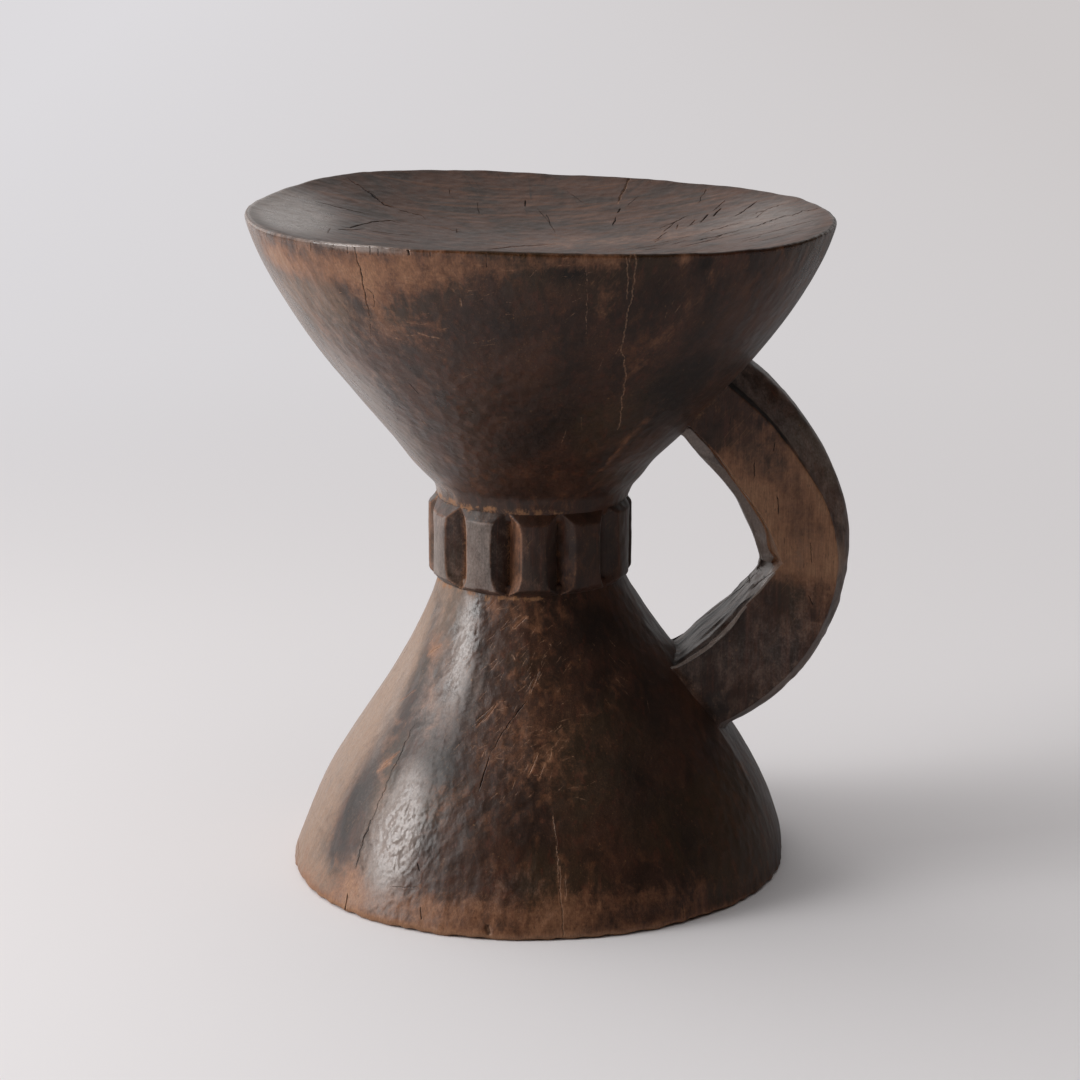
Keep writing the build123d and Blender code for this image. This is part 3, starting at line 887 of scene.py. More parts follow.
baseMarks = {
    "longCheck": ([(425, 700), (408, 740), (385, 790), (363, 840), (352, 880)], 0.45, 0.4, {"wander": 1.1}),
    "longCheckLow": ([(372, 818), (363, 840), (354, 872)], 0.8, 0.6, {"wander": 0.8}),
    "footCheckLeft": ([(348, 893), (346, 909)], 1.0, 1.2, {"bluntEnd": 1, "wander": 0.3}),
    "upperCheck": ([(531, 694), (518, 711), (502, 735), (489, 756)], 0.5, 0.5),
    "upperCheckLow": ([(490, 754), (484, 774), (478, 793)], 0.7, 0.7, {"wander": 0.5}),
    "goldenCheck": (
        [(553, 815), (555, 838), (558, 858), (558, 882)],
        0.5, 0.6, {"kind": "vein", "wander": 1.2},
    ),
    "goldenCheckB": (
        [(561, 866), (559, 890), (563, 912), (563, 935)],
        0.6, 0.7, {"kind": "vein", "bluntEnd": 1, "wander": 1.0},
    ),
    "goldenCheckC": ([(566, 876), (565, 900)], 0.5, 0.5, {"kind": "vein"}),
    "rightFootCheck": ([(683, 903), (684, 918)], 0.6, 0.7, {"bluntEnd": 1, "wander": 0.3}),
    "footCheckB": ([(420, 905), (421, 919)], 0.5, 0.6, {"bluntEnd": 1, "wander": 0.3}),
    "footCheckC": ([(298, 838), (299, 858)], 0.7, 0.7, steady),
    "footChip": ([(487, 924), (489, 933)], 3.0, 1.4, {"kind": "vein", "bluntEnd": 1, "wander": 0.3}),
    "levelScratch": ([(387, 886), (405, 887.5), (420, 887)], 0.4, 0.3, steady),
    "shortCheck": ([(417, 862), (420, 872)], 0.7, 0.5, steady),
    "midScratchA": ([(513, 630), (525, 619)], 0.6, 0.25, scratched),
    "midScratchB": ([(532, 690), (541, 669)], 0.6, 0.25, scratched),
    "midScratchC": ([(475, 723), (495, 704)], 0.6, 0.25, scratched),
    "midScratchD": ([(526, 692), (537, 672)], 0.5, 0.2, scratched),
    "brightDotA": ([(512, 627), (512.5, 629)], 0.9, 0.2, {"kind": "vein", "wander": 0}),
    "brightDotB": ([(512, 655), (515, 660)], 0.7, 0.2, {"kind": "vein", "wander": 0}),
    "brightDotC": ([(550, 644.5), (550.5, 646)], 0.8, 0.2, {"kind": "vein", "wander": 0}),
    "chipA": ([(428, 655), (441, 645)], 1.0, 0.3, {"kind": "chip", "wander": 0.4}),
    "chipB": ([(383, 766), (400, 752)], 0.9, 0.3, {"kind": "chip", "wander": 0.4}),
    "chipC": ([(378, 771), (391, 763)], 0.8, 0.3, {"kind": "chip", "wander": 0.4}),
    "chipD": ([(400, 701), (416, 690)], 0.8, 0.25, {"kind": "chip", "wander": 0.4}),
    "chipE": ([(483, 722), (497, 704)], 0.9, 0.35, chipped),
    "chipF": ([(476, 727), (489, 713)], 0.7, 0.3, chipped),
    "chipG": ([(528, 776), (538, 753)], 0.9, 0.35, chipped),
    "chipH": ([(539, 779), (545, 764)], 0.7, 0.3, {"kind": "chip", "wander": 0.5}),
    "chipI": ([(549, 761), (552, 748)], 0.5, 0.25, {"kind": "chip", "wander": 0.5}),
    "chipJ": ([(530, 694), (539, 670)], 0.9, 0.35, chipped),
    "chipK": ([(514, 629), (527, 617)], 0.9, 0.35, chipped),
    "backCheckA": ([(165, 120), (163, 80), (166, 30), (165, 3)], 1.3, 1.4, {"bluntEnd": 1, "on": "wall"}),
    "backCheckB": ([(222, 48), (221, 2)], 1.1, 1.2, {"bluntEnd": 1, "on": "wall"}),
    "backCheckC": ([(128, 60), (129, 30)], 0.9, 0.9, {"on": "wall"}),
    "leftCheck": ([(268, 90), (266, 50), (269, 20)], 0.9, 1.0, {"on": "wall"}),
}

baseMarks.update(scatterScratches(81, 80, 490, 605, 570, 800, 46, 13))
baseMarks.update(scatterScratches(82, 22, 490, 690, 590, 800, 10, 13))
baseMarks.update(scatterScratches(83, 10, 590, 640, 660, 710, -48, 18))
baseMarks.update(scatterScratches(84, 30, 400, 620, 500, 760, 40, 13))

# the grey film patches on the front left are painted highlights and the soot patches on the right are
# painted shade, beside the real smoke and wear marks; the negative pale and film patches take painted light
# away again
basePatches = [
    ("bare", (432, 648), (8, 8), 0.5), ("bare", (430, 690), (8, 36), 0.5, -0.45),
    ("bare", (388, 758), (12, 24), 0.5, -0.5), ("bare", (440, 800), (16, 12), 0.45),
    ("bare", (352, 886), (14, 12), 0.55), ("bare", (618, 684), (9, 12), 0.4),
    ("bare", (540, 760), (40, 24), 0.45), ("bare", (525, 680), (30, 40), 0.3),
    ("bare", (520, 610), (34, 14), 0.4), ("bare", (430, 905), (60, 8), 0.35),
    ("bare", (640, 895), (50, 9), 0.35), ("bare", (560, 900), (14, 18), 0.3),
    ("paleAndLit", (352, 815), (15, 30), -0.8), ("paleAndLit", (415, 690), (10, 45), -0.5, -0.5),
    ("paleAndLit", (420, 760), (14, 14), -0.5), ("paleAndLit", (330, 882), (30, 14), 0.4),
    ("waxAndSheen", (463, 640), (7, 36), 0.75, -0.25), ("waxAndSheen", (430, 700), (14, 26), 0.35, -0.4),
    ("waxAndSheen", (405, 790), (9, 12), 0.55), ("waxAndSheen", (394, 838), (13, 26), 0.95),
    ("waxAndSheen", (480, 690), (5, 26), 0.35), ("smokeAndShade", (372, 775), (10, 40), 0.5, -0.45),
    ("smokeAndShade", (425, 755), (14, 14), 0.5), ("smokeAndShade", (352, 808), (10, 24), 0.5),
    ("smokeAndShade", (445, 775), (12, 26), 0.5), ("smokeAndShade", (347, 822), (6, 24), 0.7, -0.3),
    ("smokeAndShade", (395, 790), (16, 10), 0.35), ("smokeAndShade", (470, 690), (7, 34), 0.5),
    ("smokeAndShade", (455, 860), (14, 20), 0.5), ("smokeAndShade", (475, 770), (22, 14), 0.3),
    ("smokeAndShade", (600, 625), (24, 16), 0.6), ("smokeAndShade", (660, 700), (26, 34), 0.5),
    ("smokeAndShade", (640, 790), (30, 30), 0.4), ("smokeAndShade", (695, 850), (20, 20), 0.4),
    ("smokeAndShade", (700, 690), (10, 14), 0.6), ("shine", (465, 640), (9, 34), 0.95),
    ("shine", (398, 832), (15, 26), 1.4), ("dimpled", (465, 650), (10, 40), 0.9),
    ("dimpled", (398, 835), (26, 40), 1.0), ("waxAndSheen", (396, 838), (22, 34), 0.4),
    ("bare", (520, 900), (40, 16), 0.1), ("waxAndSheen", (520, 890), (44, 22), 0.3),
    ("waxAndSheen", (465, 668), (7, 18), 0.3), ("waxAndSheen", (600, 640), (30, 40), -0.3),
    ("waxAndSheen", (590, 770), (60, 60), -0.3), ("waxAndSheen", (520, 765), (22, 40), -0.2),
    ("bare", (753, 790), (12, 44), 0.35, 0.3), ("waxAndSheen", (388, 720), (10, 40), 0.3, -0.45),
]



def footSpread(turn):
    # the worn foot spreads a little, most at the front
    front = 0.8 + 4.4 * np.clip(np.cos(turn + math.radians(100)), 0, 1)
    return front + 2.4 * bell(np.cos(turn + math.radians(125)) - 1, 0.1)


def flatBetween(turn, ridges):
    # how far a wall that is flat between upright ridges lies inside the round, as a share of its radius
    marks = np.radians(np.array(ridges + [ridges[0] + 360.0]) - 90)
    where = (turn - marks[0]) % math.tau + marks[0]
    cell = np.clip(np.searchsorted(marks, where, side="right") - 1, 0, len(marks) - 2)
    half = (marks[cell + 1] - marks[cell]) / 2
    middle = (marks[cell + 1] + marks[cell]) / 2
    return 1 - np.cos(half) / np.cos(where - middle)


def makeBase():
    turn = np.arange(base["columns"]) / base["columns"] * math.tau
    shares = np.array(base["profile"])
    oval = base["oval"] * np.cos(2 * (turn - math.radians(base["ovalTurn"])))
    ridge = turn - math.radians(base["ridgeTurn"] - 90)
    ridge = (ridge + math.pi) % math.tau - math.pi

    def ring(share):
        where = np.array([share])
        out = throughPoints(shares[:, :2], where)[0]
        shift = base["waistShift"] * throughPoints(shares[:, [0, 2]], where)[0]
        radius = base["grooveRadius"] + (base["swellRadius"] - base["grooveRadius"]) * out
        radius = radius + oval * (1 - share)
        radius = radius + footSpread(turn) * max(0, 1 - share) ** 8
        planed = rampTo(share, 0.25, 0.62) * (1 - rampTo(share, 0.92, 1.0))
        radius = radius * (1 - base["flatness"] * planed * flatBetween(turn, base["ridges"]))
        radius = radius + 1.6 * bell(share - 0.42, 0.2) * np.exp(-np.abs(ridge) / 0.09)
        return ringAt(turn, shift, radius, share * base["topHeight"])

    lowest = base["footRound"] / base["topHeight"]
    above = ring(lowest)
    footRadius = base["footRadius"] + oval + footSpread(turn)
    corner, under = ringAt(turn, 0, footRadius, 0), ringAt(turn, 0, footRadius - 4, 0)
    rings = [under * (share, share, 1) for share in (0.02, 0.25, 0.5, 0.75, 0.9, 1.0)]
    for number in range(5):
        rings[number][:, 2] = 0.8
    footFrom = len(rings)
    for t in np.linspace(0, 1, base["footRows"] + 2)[1:-1]:
        rings.append((1 - t) ** 2 * under + 2 * t * (1 - t) * corner + t**2 * above)
    rings += [ring(share) for share in np.linspace(lowest, 1.03, base["wallRows"])]
    rings.append(ringAt(turn, base["waistShift"], base["coreRadius"], base["coreHeight"]))
    rows = len(rings)
    points = np.concatenate(rings)
    height = points[:, 2]
    row = np.repeat(np.arange(rows), base["columns"])
    arris = np.where(row < footFrom, 0, bell(height, 4.5))
    angle = np.arctan2(points[:, 1], points[:, 0])
    front = 0.5 + 0.5 * np.cos(angle + math.radians(120))
    bare = bell(height, 3.2) * (0.25 + 0.85 * front) + 0.65 * bell(height, 22) * front
    # the side facing the softbox is painted paler and greyer, tan and grey film as painted light on top of
    # real rubbing
    pale = litPaleSide(points)
    values = {
        "arris": arris, "bare": bare, "dust": logWear(points),
        "paleAndLit": 1.15 * pale, "shine": 0.35 * pale, "waxAndSheen": 0.2 * pale,
    }
    return makeMesh("baseBlank", points, tubeFaces(rows, base["columns"]), values)


carvePiece("flaredBase", makeBase(), base, baseMarks, basePatches, "flared_base")


neck = {
    "radius": 52.0,
    "bottom": 178.0,
    "top": 234.0,
    "shift": -5.9,
    "columns": 160,
    "rows": 34,
    "seed": 31,
    "lumps": 0.15,
    "lumpSize": 20.0,
    "scoopSize": 12.0,
    "scoopStretch": 2.0,
    "scoopDepth": 0.1,
    "fine": 0.08,
    "fineReaches": (),
}


def makeNeck():
    turn = np.arange(neck["columns"]) / neck["columns"] * math.tau
    heights = np.linspace(neck["bottom"], neck["top"], neck["rows"])
    points = np.concatenate([ringAt(turn, neck["shift"], neck["radius"], height) for height in heights])
    # the neck, sunk behind the collar, is darkened all over as painted shade
    values = {"smokeAndShade": np.full(len(points), 0.4), "dust": 0.5 * logWear(points)}
    return makeMesh("neckBlank", points, tubeFaces(neck["rows"], neck["columns"]), values)


carvePiece("waistNeck", makeNeck(), neck, {}, [], "waist_neck")


collar = {
    "bottom": 180.6,
    "top": 232.0,
    "faceRadius": 62.7,
    "grooveRadius": 57.2,
    "valleyRadius": 52.4,
    "backRadius": 48.0,  # inside the neck
    "lowerBevel": 4.6,
    "upperBevel": 7.4,
    "facetSlope": 1.22,
    "arrisRound": 0.2,
    "flatness": 0.6,
    "columns": 52,
    "rows": 56,
    "shift": -5.9,
    # the V cuts, as angles from the front towards the handle; the hand's spacing isn't even
    "cuts": (-13.5, 17.8, 51.2, 84.0, 117.0, 149.5, 182.5, 215.0, 248.0, 281.0, 313.5, 346.5),
    "seed": 41,
    "lumps": 0.12,
    "lumpSize": 14.0,
    "scoopSize": 9.0,
    "scoopStretch": 2.2,
    "scoopDepth": 0.16,
    "fine": 0.05,
    "arrisChips": 0.25,
    "fineReaches": (),
}


def makeBlock(number):
    rng = np.random.default_rng(collar["seed"] + number)
    first, last = math.radians(collar["cuts"][number]), math.radians(collar["cuts"][number + 1])
    middle = (first + last) / 2
    across = np.linspace(first - 0.004, last + 0.004, collar["columns"])
    rise = np.linspace(0, 1, collar["rows"])
    span = collar["top"] - collar["bottom"]
    height = collar["bottom"] + rise * span
    turn, level = np.meshgrid(across, height)
    low, high = level - collar["bottom"], collar["top"] - level
    tilt = rng.uniform(-0.5, 0.5)
    face = collar["faceRadius"] + rng.uniform(-0.35, 0.35) + tilt * (turn - middle) / (last - first) * 2
    face = face * (1 - collar["flatness"] * (1 - np.cos(turn - middle)))
    face = face - 0.35 * ((rise[:, None] - 0.5) * 2) ** 2
    upper = collar["upperBevel"] * rng.uniform(0.85, 1.15)
    lower = collar["lowerBevel"] * rng.uniform(0.8, 1.2)
    drop = collar["faceRadius"] - collar["grooveRadius"]
    upperFace = collar["grooveRadius"] + high / upper * drop + rng.uniform(-0.8, 0.8) * (turn - middle)
    lowerFace = collar["grooveRadius"] + low / lower * drop
    ends = np.abs(rise[:, None] * 2 - 1) ** 4.5
    valley = collar["valleyRadius"] + (collar["grooveRadius"] + 0.4 - collar["valleyRadius"]) * ends
    slope = collar["facetSlope"]
    leftFacet = valley + slope * (turn - first) * collar["valleyRadius"]
    rightFacet = valley + slope * (last - turn) * collar["valleyRadius"]
    layers = np.stack([face, upperFace, lowerFace, leftFacet, rightFacet])
    soft = collar["arrisRound"] * rng.uniform(0.7, 1.6)
    radius = -soft * np.log(np.exp(-layers / soft).sum(0))
    ordered = np.sort(layers, axis=0)
    arris = bell(ordered[1] - ordered[0], 0.9)
    inFacet = np.minimum(leftFacet, rightFacet) < np.minimum(face, np.minimum(upperFace, lowerFace))
    inValley = bell(np.minimum(turn - first, last - turn) * 52, 1.6)
    arris = arris * (ordered[0] > valley + 0.6)
    bevel = (np.minimum(upperFace, lowerFace) < face) & ~inFacet
    outer = np.stack([collar["shift"] + radius * np.sin(turn), -radius * np.cos(turn), level], -1)
    back, turned = collar["backRadius"], turn[:, ::-1]
    inner = np.stack([collar["shift"] + back * np.sin(turned), -back * np.cos(turned), level], -1)[:, ::6]
    points = np.concatenate([outer, inner], 1)
    loop = points.shape[1]
    flat = points.reshape(-1, 3)

    def spread(value):
        return np.concatenate([value, np.zeros((collar["rows"], loop - collar["columns"]))], 1).ravel()

    # leftLit is how far a block looks towards the window: it paints light into the blocks as grey film on
    # the lit faces (painted sheen), brighter worn arrises and ochre in the lit V valleys
    leftLit = 0.5 - 0.5 * math.sin(middle)
    onFace = ~inFacet & ~bevel
    # how far each flank of the V cut looks towards the right, away from the window
    aside = np.sin(middle + math.radians(50) * np.where(rightFacet < leftFacet, 1, -1))
    bare = 0.65 * arris * (0.3 + 0.7 * leftLit) + 0.5 * inFacet * np.clip(0.2 - aside, 0, 1)
    litSheen = min(leftLit**2, 0.58) - 0.3 * (1 - leftLit) ** 2
    values = {
        "arris": spread(arris),
        "bare": spread(bare + 0.3 * inValley * leftLit),
        # the V-cut flanks that look away from the window are darkened as painted shade
        "smokeAndShade": spread(0.4 * inFacet * np.clip(aside + 0.5, 0, 1) + 0.3 * bevel + 0.1 * onFace),
        "waxAndSheen": spread((onFace + 0.4 * bevel) * litSheen + 0.3 * inFacet * leftLit),
        "dust": np.maximum(logWear(flat), spread(0.5 * inValley * leftLit)),
    }
    return makeMesh("blockBlank", flat, tubeFaces(collar["rows"], loop), values)


for number in range(len(collar["cuts"]) - 1):
    block = dict(collar, seed=collar["seed"] + number)
    count = f"{number + 1:02d}"
    carvePiece(f"collarBlock{count}", makeBlock(number), block, {}, [], f"collar_block_{count}")


handle = {
    "centre": (63.6, 203.0),
    "elbow": -10.5,
    # radii about that centre at angles from level, up for the upper arm: outside, the front face's
    # two edges, and the inside
    "outside": [
        (-112, 127.0), (-62, 126.2), (-50, 126.6), (-38, 126.6), (-26, 126.2), (-14, 125.8), (-2, 125.2),
        (10, 124.8), (18, 123.8), (26, 123.0), (34, 122.8), (42, 123.4), (50, 124.9), (58, 127.0),
        (112, 130.0),
    ],
    "frontOuter": [
        (-112, 120.0), (-66, 119.4), (-48, 118.8), (-29, 119.1), (-10, 118.4), (-4, 117.4), (5, 115.3),
        (14, 112.3), (26, 108.4), (37, 107.0), (47, 107.9), (56, 109.8), (64, 112.9), (112, 116.0),
    ],
    "frontInnerUp": [
        (-7, 84.8), (-4.5, 83.0), (-1, 80.9), (7, 76.8), (14.5, 73.4), (24, 70.4), (33.5, 69.0),
        (45, 70.2), (55, 73.4), (64, 77.0), (72, 82.0), (112, 100.0),
    ],
    "frontInnerDown": [
        (-112, 92.0), (-80, 77.0), (-67.6, 73.0), (-57, 70.8), (-50, 70.0), (-43, 69.7), (-35, 69.7),
        (-28, 71.4), (-21.5, 74.2), (-14.4, 78.0), (-10, 81.6), (-7, 84.8),
    ],
    "insideUp": [
        (-10.5, 72.8), (-3, 69.0), (3, 66.6), (14, 63.2), (24, 61.8), (35, 61.0), (44, 61.2), (59, 63.8),
        (66, 67.0), (72, 71.0), (112, 97.0),
    ],
    "insideDown": [
        (-112, 92.0), (-90, 83.0), (-74, 75.5), (-61, 69.2), (-47, 67.4), (-33, 68.9), (-22, 71.2),
        (-10.5, 72.8),
    ],
    "halfWidth": [
        (-112, 30.5), (-75, 29.5), (-55, 27.5), (-38, 26.2), (-20, 25.5), (0, 25.5), (14, 26.0),
        (26, 27.4), (42, 30.0), (60, 33.8), (78, 37.0), (112, 38.0),
    ],
    "step": [
        (-112, 0.0), (-34, 0.0), (-15, 0.1), (5, 0.2), (20, 0.34), (34, 0.6), (48, 0.88), (60, 1.0),
        (112, 1.0),
    ],
    "lip": [(-112, 1.0), (-20, 1.0), (-12, 0.5), (-7, 0.25), (0, 0.2), (20, 0.25), (112, 0.25)],
    "frontElbow": -7.0,  # the front face's inner arris turns here
    "rootTurn": 98,  # both arms end inside the log, this far round
    "middleRadius": 96,
    "rowsUp": 190,
    "rowsDown": 150,
    "rootRound": 3.0,
    "seed": 61,
    "lumps": 0.35,
    "lumpSize": 34.0,
    "scoopSize": 12.0,
    "scoopStretch": 1.6,
    "scoopDepth": 0.2,
    "fine": 0.06,
    "arrisChips": 0.4,
    "fineReaches": (1.6, 1.0),
}

handleMarks = {
    "faceCheckA": ([(755, 458), (754, 482)], 0.6, 0.5, {"wander": 0.5}),
    "faceCheckB": ([(777, 494), (779, 516)], 0.6, 0.6, {"wander": 0.5}),
    "faceCheckC": ([(775, 442), (774, 452)], 0.8, 0.6, steady),
    "faceCheckD": ([(731, 416), (730, 426)], 0.5, 0.4, steady),
    "lowerNick": ([(810, 540), (812, 566)], 0.5, 0.5, calm),
    "lowerNickB": ([(808, 594), (813, 606)], 0.7, 0.5, steady),
    "innerSplitA": (
        [(766, 562), (752, 577), (738, 590), (720, 604), (702, 619)],
        0.8, 0.8, {"wander": 0.5},
    ),
    "innerSplitB": ([(776, 569), (762, 580), (750, 590)], 0.8, 0.8, {"wander": 0.5}),
    "innerSplitC": ([(748, 573), (750, 584)], 0.7, 0.6, calm),
}


# the pale patch in the shaded wedge by the elbow and the faint grey film patches are painted light
handlePatches = [
    ("bare", (777, 554), (8, 13), 0.6), ("bare", (776, 574), (7, 6), 0.5),
    ("waxAndSheen", (777, 554), (5, 13), -0.5, 0.2), ("paleAndLit", (777, 556), (6, 12), 0.8),
    ("waxAndSheen", (790, 400), (10, 26), -0.12, -0.6), ("bare", (798, 562), (12, 24), -0.3),
    ("bare", (822, 585), (4, 24), 0.5), ("bare", (786, 498), (9, 24), 0.4, -0.5),
    ("bare", (768, 445), (9, 20), 0.15, -0.7), ("bare", (757, 640), (20, 14), 0.15),
    ("waxAndSheen", (750, 655), (34, 26), 0.12), ("waxAndSheen", (815, 450), (8, 30), 0.12, -0.6),
    ("smokeAndShade", (712, 420), (12, 12), 0.3), ("smokeAndShade", (735, 405), (9, 9), 0.3),
    ("smokeAndShade", (720, 690), (14, 12), 0.3),
]


def logGap(points):
    # how far a point stands outside the bowl's or the base's wall, roughly along the wall's normal
    height = points[:, 2]
    bowlShare = (height - bowl["grooveHeight"]) / (bowl["rimHeight"] - bowl["grooveHeight"])
    bowlShare = np.clip(bowlShare, -0.04, 1.04)
    turn = np.arctan2(points[:, 1], points[:, 0])
    reach = rimEdge(turn)[0] + bowl["rimSpread"]
    out = throughPoints(bowl["profile"], bowlShare)
    bowlRadius = bowl["grooveRadius"] + (reach - bowl["grooveRadius"]) * out
    bowlShift = bowl["waistShift"] * (1 - bowlShare) ** 2 + bowl["rimShift"] * bowlShare
    fromBowl = (np.hypot(points[:, 0] - bowlShift, points[:, 1]) - bowlRadius) * 0.72
    shares = np.array(base["profile"])
    baseShare = np.clip(height / base["topHeight"], 0.02, 1.04)
    out = throughPoints(shares[:, :2], baseShare)
    baseRadius = base["grooveRadius"] + (base["swellRadius"] - base["grooveRadius"]) * out
    baseShift = base["waistShift"] * throughPoints(shares[:, [0, 2]], baseShare)
    fromBase = (np.hypot(points[:, 0] - baseShift, points[:, 1]) - baseRadius) * 0.86
    return np.where(height > 206, fromBowl, fromBase)


def makeHandle():
    elbow, root = handle["elbow"], handle["rootTurn"]
    up = np.linspace(0, 1, handle["rowsUp"])
    down = np.linspace(0, 1, handle["rowsDown"])
    # the rows stand closest at the elbow
    angles = np.concatenate([
        elbow - (elbow + root) * down[::-1] ** 1.25, elbow + (root - elbow) * up[1:] ** 1.25,
    ])

    def read(name):
        return throughPoints(handle[name], angles)

    outside, frontOuter = read("outside"), read("frontOuter")
    half, step, lip = read("halfWidth"), read("step"), read("lip")
    isUp = angles > handle["frontElbow"]
    frontInner = np.where(isUp, read("frontInnerUp"), read("frontInnerDown"))
    inside = np.where(angles >= elbow, read("insideUp"), read("insideDown"))
    lipBack = 15 - 10 * lip
    creaseRadius = frontInner - 2.4 + 3.4 * lip
    creaseRadius = np.maximum(creaseRadius, inside + 0.3)
    # the crease under the front arris is deepest just above the elbow
    creaseRadius = creaseRadius - 3.2 * bell(angles + 3, 6.5)
    hollow = 1.6 * rampTo(angles, 6, 26)
    slopeWidth = 4 + 15 * bell(angles + 12, 12) * (angles < elbow + 1)
    corners = [
        (inside + hollow, half * 0),
        (inside + 0.4, -half + lipBack + slopeWidth),
        (creaseRadius, -half + lipBack),
        (frontInner, -half),
        (frontOuter, -half),
        (frontOuter + 0.8 + 1.6 * step, -half + 1.0 + 8.0 * step),
        (outside, -half + 12 + 8 * step),
        (outside + 0.4, half * 0),
    ]
    steps = [16, 4, 9, 24, 4, 9, 8]
    crest = (0.9 + 0.7 * lip)[:, None]
    rounds = [0, 2.0, 0.8, crest, 0.9, 1.6, 5.0, 0]
    corners += [(radius, -side) for radius, side in corners[-2:0:-1]]
    steps = steps + steps[::-1]
    rounds = rounds + rounds[-2:0:-1]
    corner = np.stack([np.stack(pair, -1) for pair in corners], 1)
    count = corner.shape[1]
    section, edgeness, band, share = [], [], [], []
    starts, ends = [], []
    for k in range(count):
        here, before, after = corner[:, k], corner[:, k - 1], corner[:, (k + 1) % count]
        backward, forward = before - here, after - here
        backLength = np.linalg.norm(backward, axis=1, keepdims=True)
        foreLength = np.linalg.norm(forward, axis=1, keepdims=True)
        size = np.minimum(np.minimum(rounds[k], backLength * 0.4), foreLength * 0.4)
        starts.append(here + backward / backLength * size)
        ends.append(here + forward / foreLength * size)
    for k in range(count):
        isRound = k % 7 > 0
        if isRound:
            for t in (0, 0.25, 0.5, 0.75):
                section.append((1 - t) ** 2 * starts[k] + 2 * t * (1 - t) * corner[:, k] + t**2 * ends[k])
                edgeness.append(1.0 if 0 < t else 0.7)
                band.append(k - 0.5)
                share.append(0)
        for t in np.arange(steps[k]) / steps[k]:
            section.append(ends[k] * (1 - t) + starts[(k + 1) % count] * t)
            edgeness.append(0.7 if t == 0 and isRound else 0.0)
            band.append(k)
            share.append(t)
    section = np.stack(section, 1)
    turn = np.radians(angles)[:, None]
    radius, side = section[..., 0], section[..., 1]
    # the furrows run out towards the two creases, and no worn arris parts them
    band, share = np.array(band), np.array(share)
    cut = np.select([np.isin(band, (0, 0.5, 13, 12.5)), band == 1, band == 12], [1, 1 - share, share], 0)
    edgeness = np.where(np.isin(band, (0.5, 12.5)) | ((band == 1) & (share == 0)), 0, edgeness)
    band, share = np.tile(band, len(angles)), np.tile(share, len(angles))
    inner = np.isin(band, (0, 0.5, 1, 1.5, 2, 11, 12, 12.5, 13)).reshape(radius.shape)
    # the knife left long furrows along the inside
    along = np.stack([side, turn * handle["middleRadius"] + side * 0, side * 0], -1).reshape(-1, 3)
    furrows = softNoise(along, (2.6, 46, 1), 66) + 0.5 * softNoise(along, (1.5, 20, 1), 67)
    radius = radius + cut * 0.8 * furrows.reshape(radius.shape)
    centreX, centreZ = handle["centre"]

    def onArch(radius, side):
        arch = [centreX + radius * np.cos(turn), side, centreZ + radius * np.sin(turn)]
        return np.stack(arch, -1).reshape(-1, 3)

    # the arms swell into the log where they grow out of it
    rows, columns = radius.shape
    flat = onArch(radius, side)
    gap = logGap(flat)
    outward = flat - onArch(handle["middleRadius"] + radius * 0, side * 0)
    outward /= np.linalg.norm(outward, axis=1, keepdims=True) + 1e-9
    size = handle["rootRound"]
    close = np.clip(size - gap, 0, size)
    swell = size - np.sqrt(np.maximum(size**2 - close**2, 0))
    sideways = np.abs(outward[:, 1])
    flat = flat + outward * (swell * (0.35 + 0.65 * sideways))[:, None]
    arris = np.tile(edgeness, rows) * rampTo(gap, 3, 12)
    root = bell(np.clip(gap, 0, None), 5)
    risen = np.repeat(step, columns)
    wedge = np.isin(band, (4, 9)) * np.minimum(risen * 1.6, 1)
    outerFace = (band > 4.2) & (band < 8.8)
    frontFace = np.isin(band, (2.5, 3, 3.5))
    degrees = np.repeat(angles, columns)
    upper = rampTo(degrees, elbow - 1, elbow + 2)
    inner = inner.ravel()
    furrowed = np.clip(-1.6 * furrows - 0.1, 0, 1)
    innerUp, innerLow = inner * upper, inner * (1 - upper) * (band != 2)
    # the front face is worn brightest along its two long arrises and towards the elbow
    nearInner = np.where(band == 2.5, 1, bell(share, 0.3) * (band == 3))
    nearOuter = np.where(np.isin(band, (3.5, 4)), 1, bell(1 - share, 0.16) * (band == 3))
    warm, warmOuter = bell(degrees - 18, 32), bell(degrees - 10, 34)
    inCrease = np.isin(band, (1.5, 2, 2.5)) * upper
    nearElbow = bell(degrees + 12, 14)
    lipCrest = np.isin(band, (2, 2.5)) * (1 - upper) * rampTo(-degrees, 10, 13)
    creased = np.isin(band, (1, 1.5))
    bare = 0.75 * nearInner * warm * upper + 0.5 * nearOuter * warmOuter + 1.5 * inCrease * warm
    bare = bare + 0.45 * frontFace * warm
    # soot at the log's roots, on the stepped wedge and in the gouge under the lower lip is painted shade,
    # and less of it in the fold at the elbow lightens that shade
    smokeAndShade = 0.5 * root + 0.9 * wedge * rampTo(degrees, 12, 40)
    smokeAndShade = smokeAndShade + (0.2 + 0.3 * creased * rampTo(-degrees, 16, 34)) * innerLow
    smokeAndShade = smokeAndShade + furrowed * inner * (1 - lipCrest) - 0.35 * frontFace - 0.6 * nearElbow * inner
